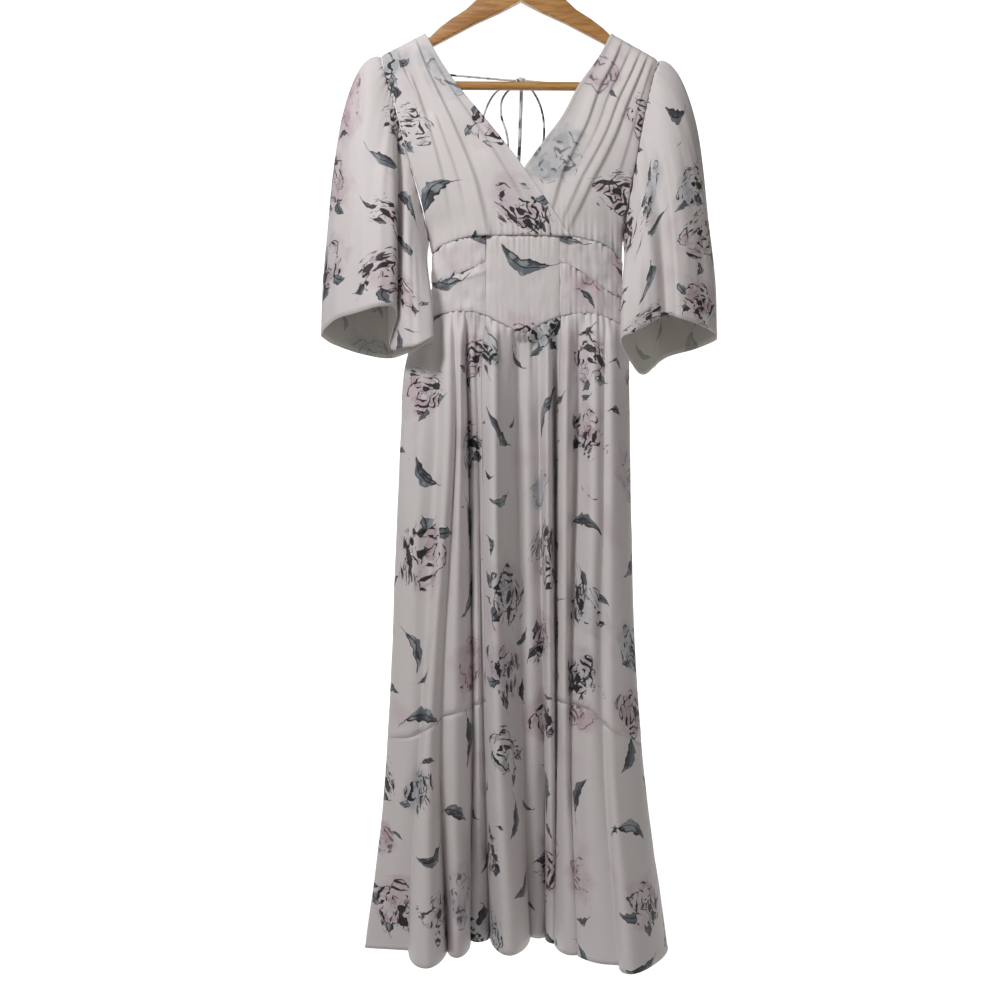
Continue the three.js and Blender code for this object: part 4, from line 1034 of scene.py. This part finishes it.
def makeSkirt():
    rightFlounce = through(rightFlounceSeam, "fold", "z")
    leftFlounce = through(leftFlounceSeam, "fold", "z")
    waist = lambda fold: skirtCurves(fold)[2]
    hem = lambda fold: skirtLevels["Hem"]
    plan = [
        ("skirt_front_right", "rightSide", "rightSeam", waist, rightFlounce, 80, 1.5,
         (0.3, 0.62), 0.133, (0, 1500)),
        ("skirt_flounce_right", "rightSide", "rightSeam", rightFlounce, hem, 50, 1.0,
         (0.46, 0.37), 0.118, (0, 2100)),
        ("skirt_front_centre", "rightSeam", "leftSeam", waist, hem, 130, 1.5,
         (0.4, 0.93), 0.233, (1260, 3140)),
        ("skirt_front_left", "leftSeam", "leftSide", waist, leftFlounce, 80, 1.5,
         (0.25, 0.63), 0.112, (860, 1510)),
        ("skirt_flounce_left", "leftSeam", "leftSide", leftFlounce, hem, 50, 1.0,
         (0.33, 0.37), 0.083, (870, 2130)),
        ("skirt_back_left", "leftSide", "backSeam", waist, hem, 120, 1.5,
         (0.36, 0.92), 0.227, (1400, 1600)),
        ("skirt_back_right", "backSeam", "round", waist, hem, 120, 1.5,
         (0.37, 0.92), 0.234, (1900, 1600)),
    ]
    for order, (name, start, end, upper, lower, rows, power, flat, area, uvShift) in enumerate(plan):
        first, last = skirtSeams[start], skirtSeams[end]
        front = order < 5
        folds = steps(first, last, round((last - first) * 13))

        def surface(fold, part, upper=upper, lower=lower):
            z = mix(upper(fold), lower(fold), part)
            xAt, yAt, _ = skirtCurves(fold)
            return xAt(z), yAt(z), z

        edges = {"u0": "join", "u1": "join", "v0": "seam" if upper is waist else "join",
                 "v1": "hem" if lower is hem else "join"}
        piece = makeSheet(name + "_cloth", surface, folds, closer(rows, power), toFront if front else toBack,
                          skirtCrease(order if order > 4 else 1.0, front), edges, uvShift=uvShift)
        finishSheet(piece, name)


makeSkirt()
print("skirt made")

# Hanger. The arm is half an outline, x and z, from the middle out and back.
hanger = {
    "thickness": 12, "edgeRound": 2.4,
    "arm": [
        (-0.15, -60), (-26, -68), (-64, -96), (-80, -111), (-102, -125), (-119, -138), (-131, -150),
        (-140, -155), (-175, -177), (-194, -191), (-203, -203), (-206, -216), (-203, -228), (-194, -233),
        (-184, -228), (-170, -194), (-150, -176), (-127, -163), (-102, -150), (-64, -130), (-33, -116),
        (-0.15, -98),
    ],
    "bar": {"radius": 6.3, "length": 354.6, "drop": 2.5},
    "hook": {"radius": 22, "wire": 2, "bottom": -59.6, "from": -62, "to": 205},
}


def makeWood(name, light, dark, along):
    m = Finish(name)
    place = m.node("ShaderNodeTexCoord", {}, (), 3)
    mapped = {"Vector": place, "Rotation": (0, along, 0), "Scale": (1.0, 9.0, 9.0)}
    turned = m.node("ShaderNodeMapping", {}, mapped)
    rings = m.grain(turned, 26.0, 4.0, 0.6)
    pores = m.grain(m.shift(turned, (0.35, 4.0, 4.0), "MULTIPLY"), 60.0, 2.0, 0.6)
    tone = m.blend(light, dark, rings.soft(0.38, 0.66))
    tone = m.blend(tone, linear(84, 52, 24), pores.soft(0.60, 0.74) * 0.45)
    bump = m.node("ShaderNodeBump", {}, {"Strength": 0.15, "Distance": 0.0005, "Height": pores})
    m.feed(Base_Color=tone, Roughness=0.34 + rings * 0.14, Normal=bump)
    m.feed(Coat_Weight=0.25, Coat_Roughness=0.2)
    return m.material


def addWooden(bm, node, wood):
    mesh = meshFrom(bm, node + "_wood")
    mesh.shade_smooth()
    mesh.set_sharp_from_angle(angle=math.radians(35))
    mesh.materials.append(wood)
    standFor(addObject(node + "_wood", mesh), node)


def makeArms():
    for name, side, along in (("hanger_arm_right", 1, 0.55), ("hanger_arm_left", -1, -0.55)):
        outline = hanger["arm"]
        bm = bmesh.new()
        half = hanger["thickness"] / 2
        corners = [bm.verts.new(Vector((x * side, -half, z)) * mm) for x, z in outline]
        face = bm.faces.new(corners)
        drawn = bmesh.ops.extrude_face_region(bm, geom=[face])
        far = [item for item in drawn["geom"] if isinstance(item, bmesh.types.BMVert)]
        bmesh.ops.translate(bm, verts=far, vec=(0, 2 * half * mm, 0))
        bmesh.ops.recalc_face_normals(bm, faces=bm.faces)
        sharp = [edge for edge in bm.edges if abs(edge.verts[0].co.y - edge.verts[1].co.y) < 1e-6
                 and min(abs(edge.verts[0].co.x), abs(edge.verts[1].co.x)) > 0.001]
        bmesh.ops.bevel(bm, geom=sharp, offset=hanger["edgeRound"] * mm, offset_type="OFFSET", segments=4,
                        profile=0.5, affect="EDGES", material=-1)
        wood = makeWood(name + " wood", linear(190, 141, 82), linear(162, 112, 60), along)
        addWooden(bm, name, wood)


def makeBar():
    bar = hanger["bar"]
    low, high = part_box("hanger_bar")
    bm = bmesh.new()
    tilt = math.atan2(-bar["drop"], bar["length"])
    bmesh.ops.create_cone(bm, cap_ends=True, segments=48, radius1=bar["radius"] * mm,
                          radius2=bar["radius"] * mm, depth=bar["length"] * mm)
    bmesh.ops.rotate(bm, verts=bm.verts, matrix=Matrix.Rotation(math.pi / 2 - tilt, 3, "Y"))
    bmesh.ops.translate(bm, verts=bm.verts, vec=((low[0] + high[0]) / 2, 0, (low[2] + high[2]) / 2))
    wood = makeWood("bar wood", linear(200, 154, 90), linear(172, 124, 68), 0.0)
    addWooden(bm, "hanger_bar", wood)


def makeHook():
    hook = hanger["hook"]
    curve = bpy.data.curves.new("hook_wire", "CURVE")
    curve.dimensions = "3D"
    curve.bevel_depth = hook["wire"] * mm
    curve.bevel_resolution = 6
    curve.use_fill_caps = True
    centreZ = hook["wire"] - hook["radius"]
    places = [(0, 0, hook["bottom"]), (0, 0, -54), (1.5, 0, -48)]
    for degrees in steps(hook["from"], hook["to"], 14):
        angle = math.radians(degrees)
        places.append((hook["radius"] * math.cos(angle), 0, centreZ + hook["radius"] * math.sin(angle)))
    spline = curve.splines.new("BEZIER")
    spline.bezier_points.add(len(places) - 1)
    for point, place in zip(spline.bezier_points, places):
        point.co = Vector(place) * mm
        point.handle_left_type = point.handle_right_type = "AUTO"
    piece = addObject("hook_wire", curve)
    m = Finish("plated wire")
    place = m.node("ShaderNodeTexCoord", {}, (), 3)
    rub = m.grain(place, 160.0, 3.0)
    tone = m.blend(linear(205, 207, 212), linear(168, 170, 176), rub.soft(0.4, 0.7))
    m.feed(Base_Color=tone, Roughness=0.16 + rub * 0.16, Metallic=1.0)
    curve.materials.append(m.material)
    standFor(piece, "hanger_hook")


makeArms()
makeBar()
makeHook()
print("hanger made")

# Floor, backdrop and light.
studio = {
    "floorZ": -1.62, "wallY": 3.5, "front": -3.0, "halfWidth": 2.4, "height": 1.6, "bend": 0.6,
    "glowFrom": 0.02, "glowTo": 0.18, "glow": 0.85, "ambient": 0.15,
}


def makeBackdrop():
    # one sheet of pale paper, drawn out along its bend; it glows only behind the dress
    bm = bmesh.new()
    ends = [bm.verts.new((side * studio["halfWidth"], studio["front"], studio["floorZ"])) for side in (-1, 1)]
    edges = [bm.edges.new(ends)]
    line = [(studio["front"], studio["floorZ"]), (studio["glowFrom"] - 0.1, studio["floorZ"])]
    for degrees in steps(0, 90, 12):
        turn = math.radians(degrees)
        y = studio["wallY"] - studio["bend"] * (1 - math.sin(turn))
        line.append((y, studio["floorZ"] + studio["bend"] * (1 - math.cos(turn))))
    line.append((studio["wallY"], studio["height"]))
    for (y0, z0), (y1, z1) in zip(line, line[1:]):
        drawn = bmesh.ops.extrude_edge_only(bm, edges=edges)
        moved = [item for item in drawn["geom"] if isinstance(item, bmesh.types.BMVert)]
        edges = [item for item in drawn["geom"] if isinstance(item, bmesh.types.BMEdge)
                 and all(vert in moved for vert in item.verts)]
        bmesh.ops.translate(bm, verts=moved, vec=(0, y1 - y0, z1 - z0))
    bmesh.ops.recalc_face_normals(bm, faces=bm.faces)
    if sum(face.normal.z for face in bm.faces) < 0:
        bmesh.ops.reverse_faces(bm, faces=bm.faces)
    for face in bm.faces:
        face.smooth = True
    backdrop = addObject("backdrop", meshFrom(bm, "backdrop"))
    m = Finish("white paper")
    _, depth, _ = m.split(m.node("ShaderNodeTexCoord", {}, (), 3))
    glow = m.blend((0.0, 0.0, 0.0, 1), (1.0, 1.0, 1.0, 1), depth.soft(studio["glowFrom"], studio["glowTo"]))
    m.feed(Base_Color=(0.9, 0.9, 0.9, 1), Roughness=0.9)
    m.feed(Emission_Color=glow, Emission_Strength=studio["glow"])
    backdrop.data.materials.append(m.material)


def addLight(name, place, aim, size, power, colour):
    data = bpy.data.lights.new(name, "AREA")
    data.shape = "RECTANGLE"
    data.size, data.size_y = size
    data.energy = power
    data.color = colour
    lamp = addObject(name, data)
    lamp.location = place
    lamp.rotation_euler = (Vector(aim) - Vector(place)).to_track_quat("-Z", "Y").to_euler()


def makeLight():
    addLight("key", (-1.0, -1.45, 0.74), (0, 0, -0.1), (0.45, 0.45), 30, (1.0, 0.985, 0.99))
    addLight("fill", (1.5, -2.4, 0.1), (0, 0, -0.6), (1.0, 1.0), 4, (1.0, 0.97, 0.93))
    world = bpy.data.worlds.new("studio")
    world.use_nodes = True
    world.node_tree.nodes["Background"].inputs[0].default_value = (1.0, 0.95, 0.88, 1)
    world.node_tree.nodes["Background"].inputs[1].default_value = studio["ambient"]
    bpy.context.scene.world = world
    bpy.context.scene.view_settings.view_transform = "Standard"


makeBackdrop()
makeLight()
print("studio made")
